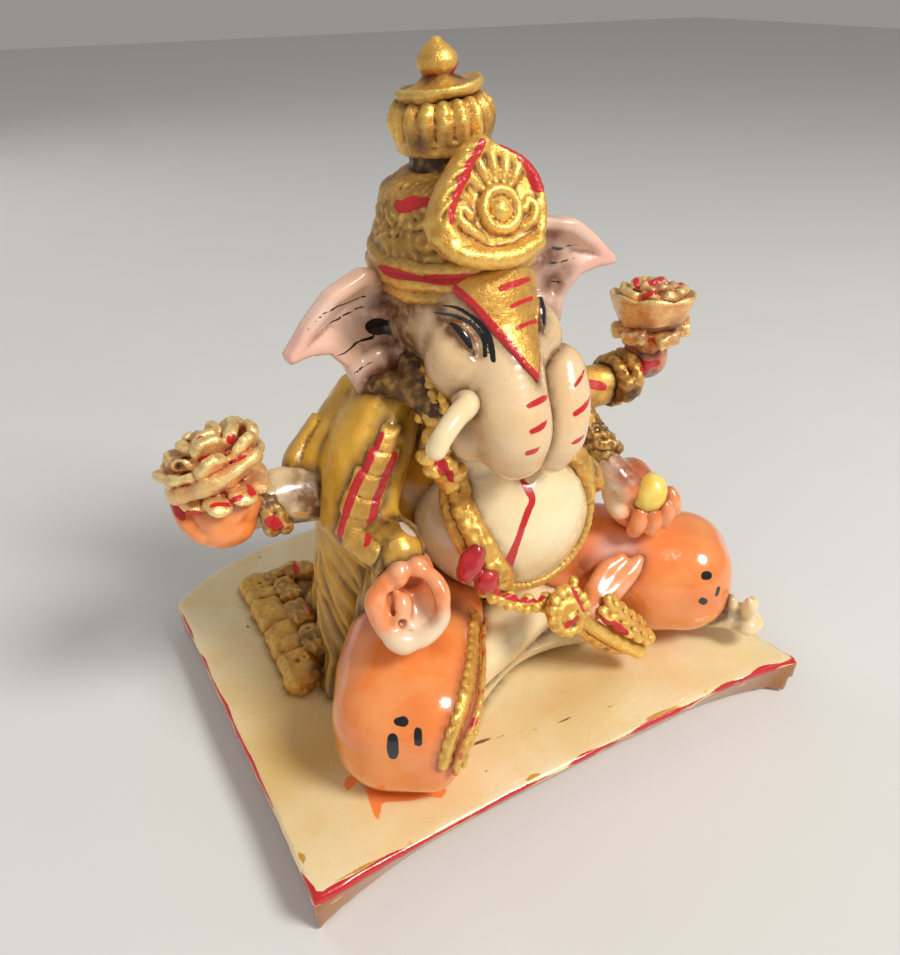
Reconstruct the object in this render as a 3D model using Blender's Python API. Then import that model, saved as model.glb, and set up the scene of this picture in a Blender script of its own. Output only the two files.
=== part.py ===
"""Ganesha idol, a hand-painted cast figurine about 100 mm tall, modelled in metres.

The origin is the centre of the base's underside.  The figure faces -Y, its own right hand side is at -X
and +Z is up.  Places and radii below are written in millimetres, for the figure standing upright; the
whole figure is then leaned a few degrees on its base, as it was cast.
"""

import math

import bmesh
import bpy
from mathutils import Matrix, Vector

MM = 0.001

# Driving dimensions
BASE_WIDTH = 86.4
BASE_DEPTH = 67.4
BASE_THICKNESS = 7.5
FIGURE_TOP = 99.0  # tip of the finial above the table, before the lean

# Base slab
SIDE_BOWS = (1.6, 1.6, -9.6, 0.2)  # how far each side is drawn in: front, right, back (swollen out), left
UNDERCUTS = (4.5, 2.5, 2.5, 1.4)  # how far the underside is set in there, beyond that
UNDERCUT_CORNER = 0.7
EDGE_ROUND = 0.5
SIDE_STEPS = 10

# Lean of the figure on its base
LEAN = math.radians(-4.06)
LEAN_HEIGHT = 10.8

# Fit of one piece against the next
BOND_GAP = 0.3
JOIN_WITHIN = 1e-7  # metres

# Mesh fineness
ROUND_SEGMENTS = 14
ROUND_RINGS = 8
TUBE_RESOLUTION = 3  # gives 10 sides
TURNED_SEGMENTS = 24
STATION_STEPS = 2

# Head and crown, on the figure's own axis
HEAD_CENTRE = (0.0, -2.5, 67.0)
HEAD_RADII = (9.6, 11.5, 12.0)
CROWN_RADIUS = 9.8
BAND_HEIGHT = 74.5
BAND_TUBE = 1.4
DOME_RISE = 9.6
POT_HEIGHT = 89.8
POT_RADIUS = 6.6
POT_RISE = 4.2
POT_CENTRE = (0.8, 0.0)
LID_HEIGHT = 94.4
LID_RADIUS = 6.3
BUD_RADIUS = 2.9

# Knobs along the shawl's border, where it lies on the base
OUTER_KNOBS = 4
INNER_KNOBS = 3

# Colours: base colour, roughness, metallic
PAINTS = {
    "ivory_resin": ((0.82, 0.72, 0.50), 0.30, 0.0),
    "orange_paint": ((0.85, 0.24, 0.07), 0.22, 0.0),
    "gold_paint": ((0.72, 0.45, 0.12), 0.38, 0.9),
    "aged_gold_paint": ((0.34, 0.20, 0.07), 0.50, 0.7),
    "yellow_paint": ((0.72, 0.48, 0.06), 0.35, 0.0),
    "pink_paint": ((0.80, 0.48, 0.38), 0.40, 0.0),
    "red_paint": ((0.52, 0.02, 0.03), 0.28, 0.0),
}

LEANED = (
    Matrix.Translation((0.0, 0.0, LEAN_HEIGHT * MM))
    @ Matrix.Rotation(LEAN, 4, "Y")
    @ Matrix.Translation((0.0, 0.0, -LEAN_HEIGHT * MM))
)


def clear_scene():
    for obj in list(bpy.data.objects):
        bpy.data.objects.remove(obj, do_unlink=True)


def paint(slot):
    """The material of one slot, made the first time that it is asked for."""
    if slot in bpy.data.materials:
        return bpy.data.materials[slot]
    colour, roughness, metallic = PAINTS[slot]
    material = bpy.data.materials.new(slot)
    material.use_nodes = True
    shader = material.node_tree.nodes["Principled BSDF"]
    shader.inputs["Base Color"].default_value = (*colour, 1.0)
    shader.inputs["Roughness"].default_value = roughness
    shader.inputs["Metallic"].default_value = metallic
    material.diffuse_color = (*colour, 1.0)
    return material


def add_object(name, mesh, slot, smooth=True):
    mesh.name = name
    mesh.materials.clear()
    mesh.materials.append(paint(slot))
    mesh.polygons.foreach_set("use_smooth", [smooth] * len(mesh.polygons))
    obj = bpy.data.objects.new(name, mesh)
    bpy.context.scene.collection.objects.link(obj)
    return obj


def mesh_of(work):
    bmesh.ops.remove_doubles(work, verts=work.verts, dist=JOIN_WITHIN)
    bmesh.ops.recalc_face_normals(work, faces=work.faces)
    mesh = bpy.data.meshes.new("shape")
    work.to_mesh(mesh)
    work.free()
    return mesh


def on_figure(name, mesh, slot):
    mesh.transform(LEANED)
    return add_object(name, mesh, slot)


def skin(rings):
    """A closed mesh through rings of points, in metres, with a flat cap at each end."""
    work = bmesh.new()
    loops = [[work.verts.new(point) for point in ring] for ring in rings]
    for lower, upper in zip(loops, loops[1:]):
        for i in range(len(lower)):
            work.faces.new((lower[i - 1], lower[i], upper[i], upper[i - 1]))
    work.faces.new(loops[0])
    work.faces.new(loops[-1])
    return mesh_of(work)


def set_down(centre, turn):
    """The matrix of a place in millimetres and a turn in degrees about X, Y and Z."""
    place = Matrix.Translation(Vector(centre) * MM)
    for angle, axis in zip(reversed(turn), "ZYX"):
        place @= Matrix.Rotation(math.radians(angle), 4, axis)
    return place


def ball(name, centre, radii, slot, turn=(0.0, 0.0, 0.0)):
    """An egg shape; turn is in degrees about X, Y and Z."""
    work = bmesh.new()
    size = Matrix.Diagonal((*(radius * MM for radius in radii), 1.0))
    bmesh.ops.create_uvsphere(
        work,
        u_segments=ROUND_SEGMENTS,
        v_segments=ROUND_RINGS,
        radius=1.0,
        matrix=set_down(centre, turn) @ size,
    )
    return on_figure(name, mesh_of(work), slot)


def limb(name, stations, slot):
    """A round bar whose thickness changes along a smooth line; each station is x, y, z and radius."""
    curve = bpy.data.curves.new(name, "CURVE")
    curve.dimensions = "3D"
    curve.bevel_depth = MM
    curve.bevel_resolution = TUBE_RESOLUTION
    curve.use_fill_caps = True
    spline = curve.splines.new("BEZIER")
    spline.resolution_u = STATION_STEPS
    spline.bezier_points.add(len(stations) - 1)
    for point, (x, y, z, radius) in zip(spline.bezier_points, stations):
        point.co = Vector((x, y, z)) * MM
        point.radius = radius
        point.handle_left_type = point.handle_right_type = "AUTO"
    line = bpy.data.objects.new(name, curve)
    bpy.context.scene.collection.objects.link(line)
    graph = bpy.context.evaluated_depsgraph_get()
    work = bmesh.new()
    work.from_mesh(line.evaluated_get(graph).to_mesh())
    bpy.data.objects.remove(line, do_unlink=True)
    return on_figure(name, mesh_of(work), slot)


def turned(name, profile, slot, centre=(0.0, 0.0)):
    """A turned shape about the figure's axis; the profile runs from bottom to top as radius and height."""
    rings = []
    for radius, height in profile:
        ring = []
        for step in range(TURNED_SEGMENTS):
            angle = math.tau * step / TURNED_SEGMENTS
            x = centre[0] + radius * math.cos(angle)
            y = centre[1] + radius * math.sin(angle)
            ring.append(Vector((x, y, height)) * MM)
        rings.append(ring)
    return on_figure(name, skin(rings), slot)


def plate(name, outline, thickness, slot, place):
    """A flat leaf of a given outline in its own X-Z plane, set down by the matrix place."""
    rings = []
    for depth, inset in ((-0.5, 0.94), (-0.3, 1.0), (0.3, 1.0), (0.5, 0.94)):
        middle = Vector((sum(x for x, z in outline), sum(z for x, z in outline))) / len(outline)
        ring = []
        for x, z in outline:
            edge = middle + (Vector((x, z)) - middle) * inset
            ring.append(place @ (Vector((edge.x, depth * thickness, edge.y)) * MM))
        rings.append(ring)
    return on_figure(name, skin(rings), slot)


def base_slab():
    """A slab with a swollen back and three slightly hollow sides, cut under towards its underside."""
    half = Vector((BASE_WIDTH / 2.0, BASE_DEPTH / 2.0))
    corners = [(-half.x, -half.y), (half.x, -half.y), (half.x, half.y), (-half.x, half.y)]

    def outline(height, middle_insets, corner_inset):
        ring = []
        for start, end, middle_inset in zip(corners, corners[1:] + corners[:1], middle_insets):
            start, end = Vector(start), Vector(end)
            along = (end - start).normalized()
            inward = Vector((-along.y, along.x))
            for step in range(SIDE_STEPS):
                share = step / SIDE_STEPS
                bow = 1.0 - abs(2.0 * share - 1.0) ** 4
                inset = middle_inset * bow + corner_inset * (1.0 - bow)
                point = start.lerp(end, share) + inward * inset
                if step == 0:
                    point -= point.normalized() * corner_inset
                ring.append(Vector((point.x, point.y, height)) * MM)
        return ring

    rings = [
        outline(0.0, [bow + under for bow, under in zip(SIDE_BOWS, UNDERCUTS)], UNDERCUT_CORNER),
        outline(BASE_THICKNESS - EDGE_ROUND, SIDE_BOWS, 0.0),
        outline(BASE_THICKNESS, [bow + EDGE_ROUND for bow in SIDE_BOWS], EDGE_ROUND),
    ]
    return add_object("base_slab", skin(rings), "ivory_resin", smooth=False)


def crown():
    """Finial, neck, front plate, dome and headband, from the outside in."""
    bud = [
        (1.3, LID_HEIGHT + 1.2),
        (BUD_RADIUS, LID_HEIGHT + 2.4),
        (BUD_RADIUS * 0.8, LID_HEIGHT + 3.4),
        (0.3, FIGURE_TOP + 0.3),
    ]
    lid = [
        (2.0, LID_HEIGHT - 1.6),
        (LID_RADIUS, LID_HEIGHT - 1.0),
        (LID_RADIUS, LID_HEIGHT - 0.1),
        (3.2, LID_HEIGHT + 0.9),
        (1.4, LID_HEIGHT + 1.2),
    ]
    pot = [
        (3.5, POT_HEIGHT - POT_RISE),
        (POT_RADIUS * 0.86, POT_HEIGHT - POT_RISE * 0.7),
        (POT_RADIUS, POT_HEIGHT),
        (POT_RADIUS * 0.86, POT_HEIGHT + POT_RISE * 0.7),
    ]
    dome = (CROWN_RADIUS, CROWN_RADIUS * 1.06, DOME_RISE)
    neck = [
        (5.2, BAND_HEIGHT + DOME_RISE - 2.5),
        (4.2, BAND_HEIGHT + DOME_RISE),
        (4.2, POT_HEIGHT - POT_RISE),
    ]
    leaf = [
        (-8.6, -4),
        (-7, 2),
        (-4.5, 6),
        (0, 10),
        (4, 7),
        (6.6, 3),
        (7.8, -3),
        (5, -6),
        (0, -7),
        (-5, -6),
    ]
    return [
        turned("finial_bud", bud, "gold_paint"),
        turned("finial_lid", lid, "gold_paint", centre=POT_CENTRE),
        turned("finial_pot", pot, "gold_paint", centre=POT_CENTRE),
        turned("crown_neck", neck, "aged_gold_paint"),
        ball("crown_medallion", (1.0, -14.4, 82.5), (2.9, 1.2, 2.9), "gold_paint", (-22, 0, 0)),
        plate("crown_front_plate", leaf, 2.2, "gold_paint", set_down((0.2, -12.0, 81.8), (-24, 0, 0))),
        crown_band(),
        ball("crown_dome", (-0.6, -1.2, BAND_HEIGHT + 2.0), dome, "gold_paint"),
    ]


def crown_band():
    """The rolled rim of the crown, a ring that dips a little towards the back."""
    work = bmesh.new()
    sides = 8
    loops = []
    for step in range(TURNED_SEGMENTS):
        angle = math.tau * step / TURNED_SEGMENTS
        outward = Vector((math.cos(angle), math.sin(angle), 0.0))
        centre = Vector((-0.4, -1.6, BAND_HEIGHT)) + outward * (CROWN_RADIUS - 0.6)
        loop = []
        for side in range(sides):
            around = math.tau * side / sides
            rise = Vector((0.0, 0.0, BAND_TUBE * math.sin(around)))
            point = centre + outward * (BAND_TUBE * math.cos(around)) + rise
            loop.append(work.verts.new(point * MM))
        loops.append(loop)
    for i in range(len(loops)):
        for j in range(sides):
            work.faces.new((loops[i - 1][j - 1], loops[i][j - 1], loops[i][j], loops[i - 1][j]))
    return on_figure("crown_band", mesh_of(work), "gold_paint")


def face():
    """Forehead mark, tusk, trunk, ears and head."""
    mark = [(-6.2, 7.0), (0.0, 7.6), (6.2, 7.0), (3.4, -0.5), (0.7, -7.4), (-0.7, -7.4), (-3.4, -0.5)]
    ear = [
        (0, 7),
        (-5, 9),
        (-10, 7.5),
        (-15.5, 2.5),
        (-16.5, 0.5),
        (-11, 0),
        (-8, -3),
        (-7, -8),
        (-4, -10.5),
        (0, -9),
    ]
    left_ear = [(-x, z) for x, z in ear]
    tusk = [
        (-7.5, -13.5, 62.5, 1.9),
        (-10.5, -17.5, 61.5, 1.8),
        (-13.5, -19.5, 59.0, 1.5),
        (-15.2, -19.5, 56.5, 0.9),
    ]
    trunk = [
        (-0.2, -7.5, 70.0, 6.5),
        (-0.5, -11.8, 64.0, 6.0),
        (-1.0, -16.2, 58.5, 5.2),
        (-1.3, -18.3, 54.5, 4.4),
        (-1.4, -18.6, 51.6, 3.0),
    ]
    curl = [
        (4.5, -18.0, 50.8, 2.5),
        (5.4, -17.6, 53.2, 3.6),
        (6.6, -16.2, 57.0, 3.7),
        (7.6, -14.6, 60.6, 3.0),
        (8.0, -14.0, 62.2, 1.6),
    ]
    return [
        plate("forehead_plate", mark, 1.0, "gold_paint", set_down((0.2, -15.6, 67.2), (-21, 0, 0))),
        limb("right_tusk", tusk, "ivory_resin"),
        limb("trunk_curl", curl, "ivory_resin"),
        limb("trunk", trunk, "ivory_resin"),
        plate("right_ear", ear, 1.8, "pink_paint", set_down((-8.2, -0.5, 66.4), (4, 0, 8))),
        plate("left_ear", left_ear, 1.8, "pink_paint", set_down((9.0, -0.5, 67.6), (4, 0, -8))),
        ball("head", HEAD_CENTRE, HEAD_RADII, "ivory_resin"),
    ]


def rear_arms():
    """The raised rear hands and their lotuses, from the flower in to the shoulder."""
    right = [
        (-34.5, 0.0, 46.6, 2.0),
        (-29.5, 1.0, 46.0, 2.8),
        (-24.0, 2.5, 45.5, 3.6),
        (-16.0, 4.0, 47.0, 4.6),
    ]
    left = [
        (34.0, 0.5, 46.8, 2.2),
        (29.5, 2.0, 45.0, 3.2),
        (23.0, 3.0, 45.5, 4.0),
        (13.0, 4.0, 49.0, 5.0),
    ]
    return [
        ball("right_lotus", (-35.6, 0.0, 55.0), (7.3, 7.2, 5.0), "gold_paint"),
        ball("rear_right_hand", (-36.4, 0.0, 48.2), (5.0, 4.6, 4.2), "orange_paint"),
        limb("rear_right_bracelet", [(-31.6, 0.6, 46.5, 3.6), (-29.6, 1.0, 46.5, 3.8)], "aged_gold_paint"),
        limb("rear_right_arm", right, "ivory_resin"),
        ball("left_lotus", (36.2, 0.0, 56.8), (6.9, 6.8, 5.2), "gold_paint"),
        ball("rear_left_hand", (36.0, 0.0, 50.0), (3.8, 3.6, 4.0), "pink_paint"),
        limb("rear_left_bracelet", [(31.8, 1.2, 45.8, 3.7), (29.6, 2.0, 45.0, 3.9)], "aged_gold_paint"),
        limb("rear_left_arm", left, "aged_gold_paint"),
    ]


def front_arms():
    """The front hands and the sleeves that they come out of."""
    right = [
        (-10.0, 0.0, 59.0, 3.0),
        (-13.5, -1.0, 55.0, 5.4),
        (-17.0, -3.5, 50.0, 6.0),
        (-19.5, -6.0, 43.0, 5.2),
        (-18.2, -10.5, 41.0, 4.0),
        (-17.6, -14.0, 41.2, 3.2),
    ]
    left = [
        (9.0, 1.5, 57.0, 2.6),
        (12.0, 0.0, 53.5, 4.6),
        (16.5, -2.0, 47.0, 4.8),
        (20.5, -5.0, 40.0, 4.2),
        (23.0, -9.0, 35.0, 3.4),
    ]
    band = [
        (-17.6, -6.0, 53.2, 2.0),
        (-19.0, -7.6, 49.0, 4.4),
        (-20.6, -8.8, 44.4, 4.2),
        (-21.4, -9.2, 41.6, 2.2),
    ]
    palm = [
        (-17.0, -15.4, 41.4, 2.6),
        (-18.6, -16.6, 38.6, 5.1),
        (-19.8, -17.8, 35.2, 5.1),
        (-20.8, -19.2, 31.4, 2.6),
    ]
    return [
        limb("front_right_hand", palm, "orange_paint"),
        limb("right_armband", band, "gold_paint"),
        limb("right_wristlet", [(-18.0, -12.6, 41.0, 3.9), (-17.8, -14.0, 41.2, 3.9)], "gold_paint"),
        limb("front_right_arm", right, "yellow_paint"),
        ball("sweet", (25.2, -15.6, 34.4), (2.7, 2.7, 2.9), "yellow_paint"),
        ball("front_left_hand", (25.2, -12.0, 32.4), (5.6, 5.0, 5.0), "orange_paint"),
        limb("left_wristlet", [(21.2, -5.8, 38.8, 4.6), (22.0, -7.2, 37.2, 4.5)], "gold_paint"),
        limb("front_left_arm", left, "aged_gold_paint"),
    ]


def garlands():
    """The necklace, the chest garland and the belt that frames the belly."""
    right = [
        (-8.6, -10.0, 55.5, 1.8),
        (-9.6, -12.2, 50.5, 2.0),
        (-10.0, -14.4, 44.5, 2.2),
        (-8.0, -17.0, 36.5, 2.2),
        (-4.0, -19.0, 30.0, 2.0),
        (0.0, -20.0, 27.6, 1.8),
    ]
    left = [
        (4.0, -20.0, 26.0, 1.8),
        (9.0, -18.0, 26.6, 1.8),
        (14.0, -14.0, 30.5, 1.8),
        (15.6, -11.0, 36.5, 1.8),
        (14.0, -10.0, 42.0, 1.8),
        (9.0, -11.5, 47.5, 1.8),
    ]
    beads = [(-12.5, -3.0, 61.0, 2.0), (-11.0, -7.5, 58.5, 2.2), (-8.0, -11.0, 58.0, 2.0)]
    return [
        ball("garland_jewel", (-9.6, -17.4, 38.2), (2.4, 1.8, 3.4), "red_paint", (0, 25, 0)),
        ball("belt_medallion", (3.4, -22.4, 26.6), (3.6, 1.6, 3.9), "gold_paint", (-20, 0, 0)),
        ball("garland_fold", (15.4, -11.8, 39.6), (1.6, 1.8, 4.0), "gold_paint", (0, -20, 0)),
        limb("garland_right", right, "gold_paint"),
        limb("garland_left", left, "gold_paint"),
        limb("neck_beads", beads, "aged_gold_paint"),
    ]


def legs():
    """Crossed legs: hems, feet, shins and the two orange knees."""
    right_plait = [
        (-9.6, -19.2, 26.0, 1.6),
        (-11.6, -23.2, 21.0, 1.7),
        (-14.0, -25.6, 15.0, 1.7),
        (-16.0, -25.0, 10.4, 1.5),
    ]
    right_strip = [
        (-6.6, -17.8, 24.5, 1.3),
        (-8.6, -21.0, 19.4, 1.4),
        (-11.2, -22.8, 13.6, 1.4),
        (-13.4, -22.6, 9.8, 1.3),
    ]
    left_upper = [(12.6, -18.0, 22.0, 1.4), (16.0, -20.2, 17.0, 1.5), (18.2, -20.0, 13.0, 1.4)]
    left_lower = [(7.0, -15.6, 20.5, 1.5), (10.6, -18.0, 16.0, 1.6), (14.0, -18.6, 12.0, 1.5)]
    toes = [
        (30.5, -22.5, 10.6, 3.2),
        (34.5, -24.6, 10.8, 3.0),
        (37.4, -25.6, 11.6, 2.6),
        (38.4, -26.0, 12.2, 1.2),
    ]
    right_shin = [
        (-13.0, -14.0, 15.5, 5.4),
        (-4.0, -11.0, 16.0, 5.0),
        (6.0, -8.5, 15.5, 4.6),
        (16.0, -10.0, 13.5, 4.2),
    ]
    left_shin = [
        (16.0, -13.5, 12.0, 4.2),
        (8.0, -9.8, 11.8, 4.2),
        (0.0, -9.0, 11.6, 4.0),
        (-8.0, -11.5, 11.2, 3.4),
    ]
    fold = [(6.5, -17.5, 23.4, 1.4), (10.0, -15.5, 24.5, 2.0), (14.0, -12.5, 26.0, 1.6)]
    right_knee = [
        (-6.0, 1.0, 19.0, 6.0),
        (-11.0, -5.0, 19.0, 9.4),
        (-16.5, -12.0, 19.2, 10.8),
        (-20.2, -18.5, 18.4, 10.4),
        (-22.8, -23.8, 16.6, 7.8),
        (-24.0, -26.8, 15.4, 4.0),
    ]
    left_knee = [
        (7.0, 3.0, 19.0, 6.0),
        (14.0, -2.0, 19.0, 9.0),
        (22.0, -8.0, 19.0, 10.3),
        (30.0, -13.5, 18.8, 10.0),
        (35.6, -17.0, 18.0, 7.6),
        (38.4, -18.6, 17.6, 3.6),
    ]
    return [
        limb("right_hem_plait", right_plait, "gold_paint"),
        limb("right_hem_strip", right_strip, "gold_paint"),
        limb("left_hem_upper", left_upper, "gold_paint"),
        limb("left_hem_lower", left_lower, "gold_paint"),
        limb("right_foot", toes, "ivory_resin"),
        limb("sash_fold", fold, "ivory_resin"),
        limb("right_knee", right_knee, "orange_paint"),
        limb("left_knee", left_knee, "orange_paint"),
        limb("left_shin", left_shin, "ivory_resin"),
        limb("right_shin", right_shin, "ivory_resin"),
    ]


def shawl():
    """The knobs of the shawl's gold border, then the cloth that hangs from the right shoulder."""
    knobs = []
    for step in range(OUTER_KNOBS):
        centre = (-30.2 + 0.3 * step, 5.6 + 7.2 * step, 10.6)
        knobs.append(ball(f"shawl_knob_outer_{step + 1}", centre, (2.5, 3.3, 2.6), "gold_paint"))
    for step in range(INNER_KNOBS):
        centre = (-25.6 + 0.3 * step, 12.0 + 6.8 * step, 11.2)
        knobs.append(ball(f"shawl_knob_inner_{step + 1}", centre, (1.9, 3.0, 2.4), "aged_gold_paint"))
    drape = [
        (-9.0, 4.0, 59.0, 4.0),
        (-12.6, 4.0, 52.0, 6.0),
        (-15.5, 5.0, 42.0, 6.6),
        (-18.0, 7.0, 28.0, 6.8),
        (-20.0, 10.0, 16.0, 7.6),
        (-20.5, 12.0, 8.0, 8.2),
    ]
    return knobs + [limb("shawl_drape", drape, "yellow_paint")]


def body():
    """Belly, torso and the seat that the figure rests on."""
    torso = [
        (0, 5, 20, 12.5),
        (0, 4, 34, 12.5),
        (0, 2.5, 46, 12.0),
        (0, 1.0, 55, 9.5),
        (0, 0.0, 60, 7.0),
    ]
    return [
        ball("belly", (1.5, -6.5, 37.0), (13.6, 12.2, 13.4), "ivory_resin"),
        limb("torso", torso, "yellow_paint"),
        ball("seat", (0, 8, 17), (20, 15, 10.5), "orange_paint"),
    ]


def grown_copy(obj):
    """A cutter: the object made larger by the bond gap, along its normals."""
    mesh = obj.data.copy()
    for vertex in mesh.vertices:
        vertex.co += vertex.normal * (BOND_GAP * MM)
    cutter = bpy.data.objects.new("cutter", mesh)
    bpy.context.scene.collection.objects.link(cutter)
    cutter.hide_render = True
    cutter.display_type = "WIRE"
    return cutter


def boxes_meet(first, second):
    near = [[Vector(corner) for corner in obj.bound_box] for obj in (first, second)]
    for axis in range(3):
        low = max(min(corner[axis] for corner in box) for box in near)
        high = min(max(corner[axis] for corner in box) for box in near)
        if low > high:
            return False
    return True


def keep_largest_island(mesh):
    """Drops the crumbs that a cut leaves beside the main body."""
    work = bmesh.new()
    work.from_mesh(mesh)
    work.verts.ensure_lookup_table()
    unseen = set(work.verts)
    islands = []
    while unseen:
        island, edge_of_island = set(), [unseen.pop()]
        while edge_of_island:
            vertex = edge_of_island.pop()
            island.add(vertex)
            for edge in vertex.link_edges:
                other = edge.other_vert(vertex)
                if other in unseen:
                    unseen.remove(other)
                    edge_of_island.append(other)
        islands.append(island)
    islands.sort(key=len)
    crumbs = [vertex for island in islands[:-1] for vertex in island]
    bmesh.ops.delete(work, geom=crumbs, context="VERTS")
    work.to_mesh(mesh)
    work.free()


def cut_back(obj, cutters):
    """Cuts obj by every cutter that reaches it and keeps the result as its mesh."""
    for cutter in cutters:
        modifier = obj.modifiers.new("clear of neighbour", "BOOLEAN")
        modifier.operation = "DIFFERENCE"
        modifier.solver = "EXACT"
        modifier.object = cutter
    graph = bpy.context.evaluated_depsgraph_get()
    mesh = bpy.data.meshes.new_from_object(obj.evaluated_get(graph))
    obj.modifiers.clear()
    slot = obj.data.materials[0]
    obj.data = mesh
    mesh.name = obj.name
    mesh.materials.clear()
    mesh.materials.append(slot)
    keep_largest_island(mesh)


def build():
    clear_scene()
    pieces = [base_slab()]
    pieces += crown() + face() + rear_arms() + front_arms() + garlands() + shawl() + legs() + body()
    cutters = [grown_copy(piece) for piece in pieces]
    for index, piece in enumerate(pieces):
        near = [cutter for cutter in cutters[:index] if boxes_meet(piece, cutter)]
        if near:
            cut_back(piece, near)
    for cutter in cutters:
        bpy.data.objects.remove(cutter, do_unlink=True)


build()
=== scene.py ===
"""The look of the ganesha idol, sculpted over its CAD frame.

Every form is a distance field in millimetres, for the figure standing upright, that is polygonised, leaned
on its base as the CAD is, and painted by procedural materials.  Brush strokes and washes, with painted shade
among the washes, are kept on the meshes as distances, so their edges stay crisp at any mesh size.
"""

import math

import bpy
import numpy as np
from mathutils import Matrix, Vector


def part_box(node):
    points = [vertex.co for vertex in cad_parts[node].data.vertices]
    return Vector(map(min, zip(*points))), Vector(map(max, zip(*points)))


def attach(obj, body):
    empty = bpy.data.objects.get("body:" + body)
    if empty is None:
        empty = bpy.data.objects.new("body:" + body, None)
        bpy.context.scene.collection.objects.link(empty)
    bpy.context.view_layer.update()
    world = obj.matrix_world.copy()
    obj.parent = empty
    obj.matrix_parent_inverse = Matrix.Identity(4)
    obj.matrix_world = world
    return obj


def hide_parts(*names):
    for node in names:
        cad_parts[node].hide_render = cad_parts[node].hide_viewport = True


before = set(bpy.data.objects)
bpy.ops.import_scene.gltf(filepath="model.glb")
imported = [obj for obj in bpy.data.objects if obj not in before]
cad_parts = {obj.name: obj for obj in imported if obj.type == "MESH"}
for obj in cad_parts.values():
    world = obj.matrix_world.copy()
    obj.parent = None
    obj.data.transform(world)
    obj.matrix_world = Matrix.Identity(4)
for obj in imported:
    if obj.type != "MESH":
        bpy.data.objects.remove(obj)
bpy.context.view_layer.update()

import openvdb
from mathutils import Matrix, Vector

MM = 0.001

# The lean of the figure on its base, as the CAD has it
LEAN = math.radians(-4.06)
LEAN_HEIGHT = 10.8
LEANED = (
    Matrix.Translation((0.0, 0.0, LEAN_HEIGHT))
    @ Matrix.Rotation(LEAN, 4, "Y")
    @ Matrix.Translation((0.0, 0.0, -LEAN_HEIGHT))
)

# The base slab's size comes from the frame
SLAB_LOW, SLAB_HIGH = (np.array(corner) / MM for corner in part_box("base_slab"))
SLAB_TOP = SLAB_HIGH[2]
SIDE_BOWS = (1.3, 1.6, -9.6, 0.2)  # how far each side is drawn in: front, right, back, left
UNDERCUTS = (4.5, 2.5, 2.5, 1.4)  # how much further each is at the foot
UNDERCUT_CORNER = 0.7
EDGE_INSET = 0.3  # keeps the uneven sides inside the CAD's
SIDE_STEPS = 24

# Mesh fineness, as the voxel's side in millimetres
STEP_FINE = 0.27
STEP_RELIEF = 0.34
STEP_PLAIN = 0.48
STEP_BROAD = 0.7
BLOCK = 4  # voxels along a block's side
BAND = 3.0  # voxels of true distance on each side of a skin

# Washes and painted shade: how near another form has to be for the brown of washes and painted contact shade
# to gather there
WASH_AND_SHADE_REACH = 1.5

# A brush's distance where it has laid nothing
FAR = 9.0

# The figure is cut off at this height, inside the slab
ROOT_HEIGHT = 5.5

# Grooves and ridges: rounds of smoothing to compare a mesh with, and the depth that counts as full
CAVITY_ROUNDS = 8
CAVITY_FULL = 0.13

TINY = 1e-9
VERY_FAR = 1e9


# ---------------------------------------------------------------------------------------------------
# Distance fields
# ---------------------------------------------------------------------------------------------------


class Form:
    """A solid as a distance field, with the box that holds it."""

    def __init__(self, distance, low, high):
        self.distance = distance
        self.low = np.array(low, float)
        self.high = np.array(high, float)

    def __call__(self, points):
        return self.distance(points)


def turn_matrix(turn):
    """A turn in degrees about X, Y and Z, as a 3 x 3 array."""
    x, y, z = (math.radians(angle) for angle in turn)
    return np.array(Matrix.Rotation(z, 3, "Z") @ Matrix.Rotation(y, 3, "Y") @ Matrix.Rotation(x, 3, "X"))


def oval_distance(q, radii):
    """About how far points are from an oval, or an egg, about the origin."""
    near = np.sqrt(((q / radii) ** 2).sum(1)) + TINY
    steep = np.sqrt(((q / radii**2) ** 2).sum(1)) + TINY
    return near * (near - 1.0) / steep


def seam(blend, first, second):
    """What a smooth union takes away, and a smooth cut adds, where two fields meet."""
    share = np.maximum(blend - np.abs(first - second), 0.0) / blend
    return share**2 * blend / 4.0


def egg(centre, radii, turn=(0, 0, 0)):
    """A ball with three radii."""
    centre, radii, axes = np.array(centre, float), np.array(radii, float), turn_matrix(turn)

    def distance(points):
        return oval_distance((points - centre) @ axes, radii)

    reach = np.sqrt(((axes * radii) ** 2).sum(1))
    return Form(distance, centre - reach, centre + reach)


def smooth_line(stations, steps):
    """Points on a smooth line through stations, each with its radius."""
    s = np.array(stations, float)
    if steps == 1:
        return s
    padded = np.vstack([2 * s[0] - s[1], s, 2 * s[-1] - s[-2]])
    rows = []
    for i in range(1, len(padded) - 2):
        a, b, c, d = padded[i - 1 : i + 3]
        for t in np.arange(steps) / steps:
            rows.append(
                0.5 * (2 * b + (c - a) * t + (2 * a - 5 * b + 4 * c - d) * t**2
                       + (3 * b - a - 3 * c + d) * t**3)
            )
    rows.append(s[-1])
    return np.array(rows)


def lengths_along(path):
    """How far each point of a path is along it."""
    return np.concatenate([[0.0], np.cumsum(np.linalg.norm(np.diff(path[:, :3], axis=0), axis=1))])


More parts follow.
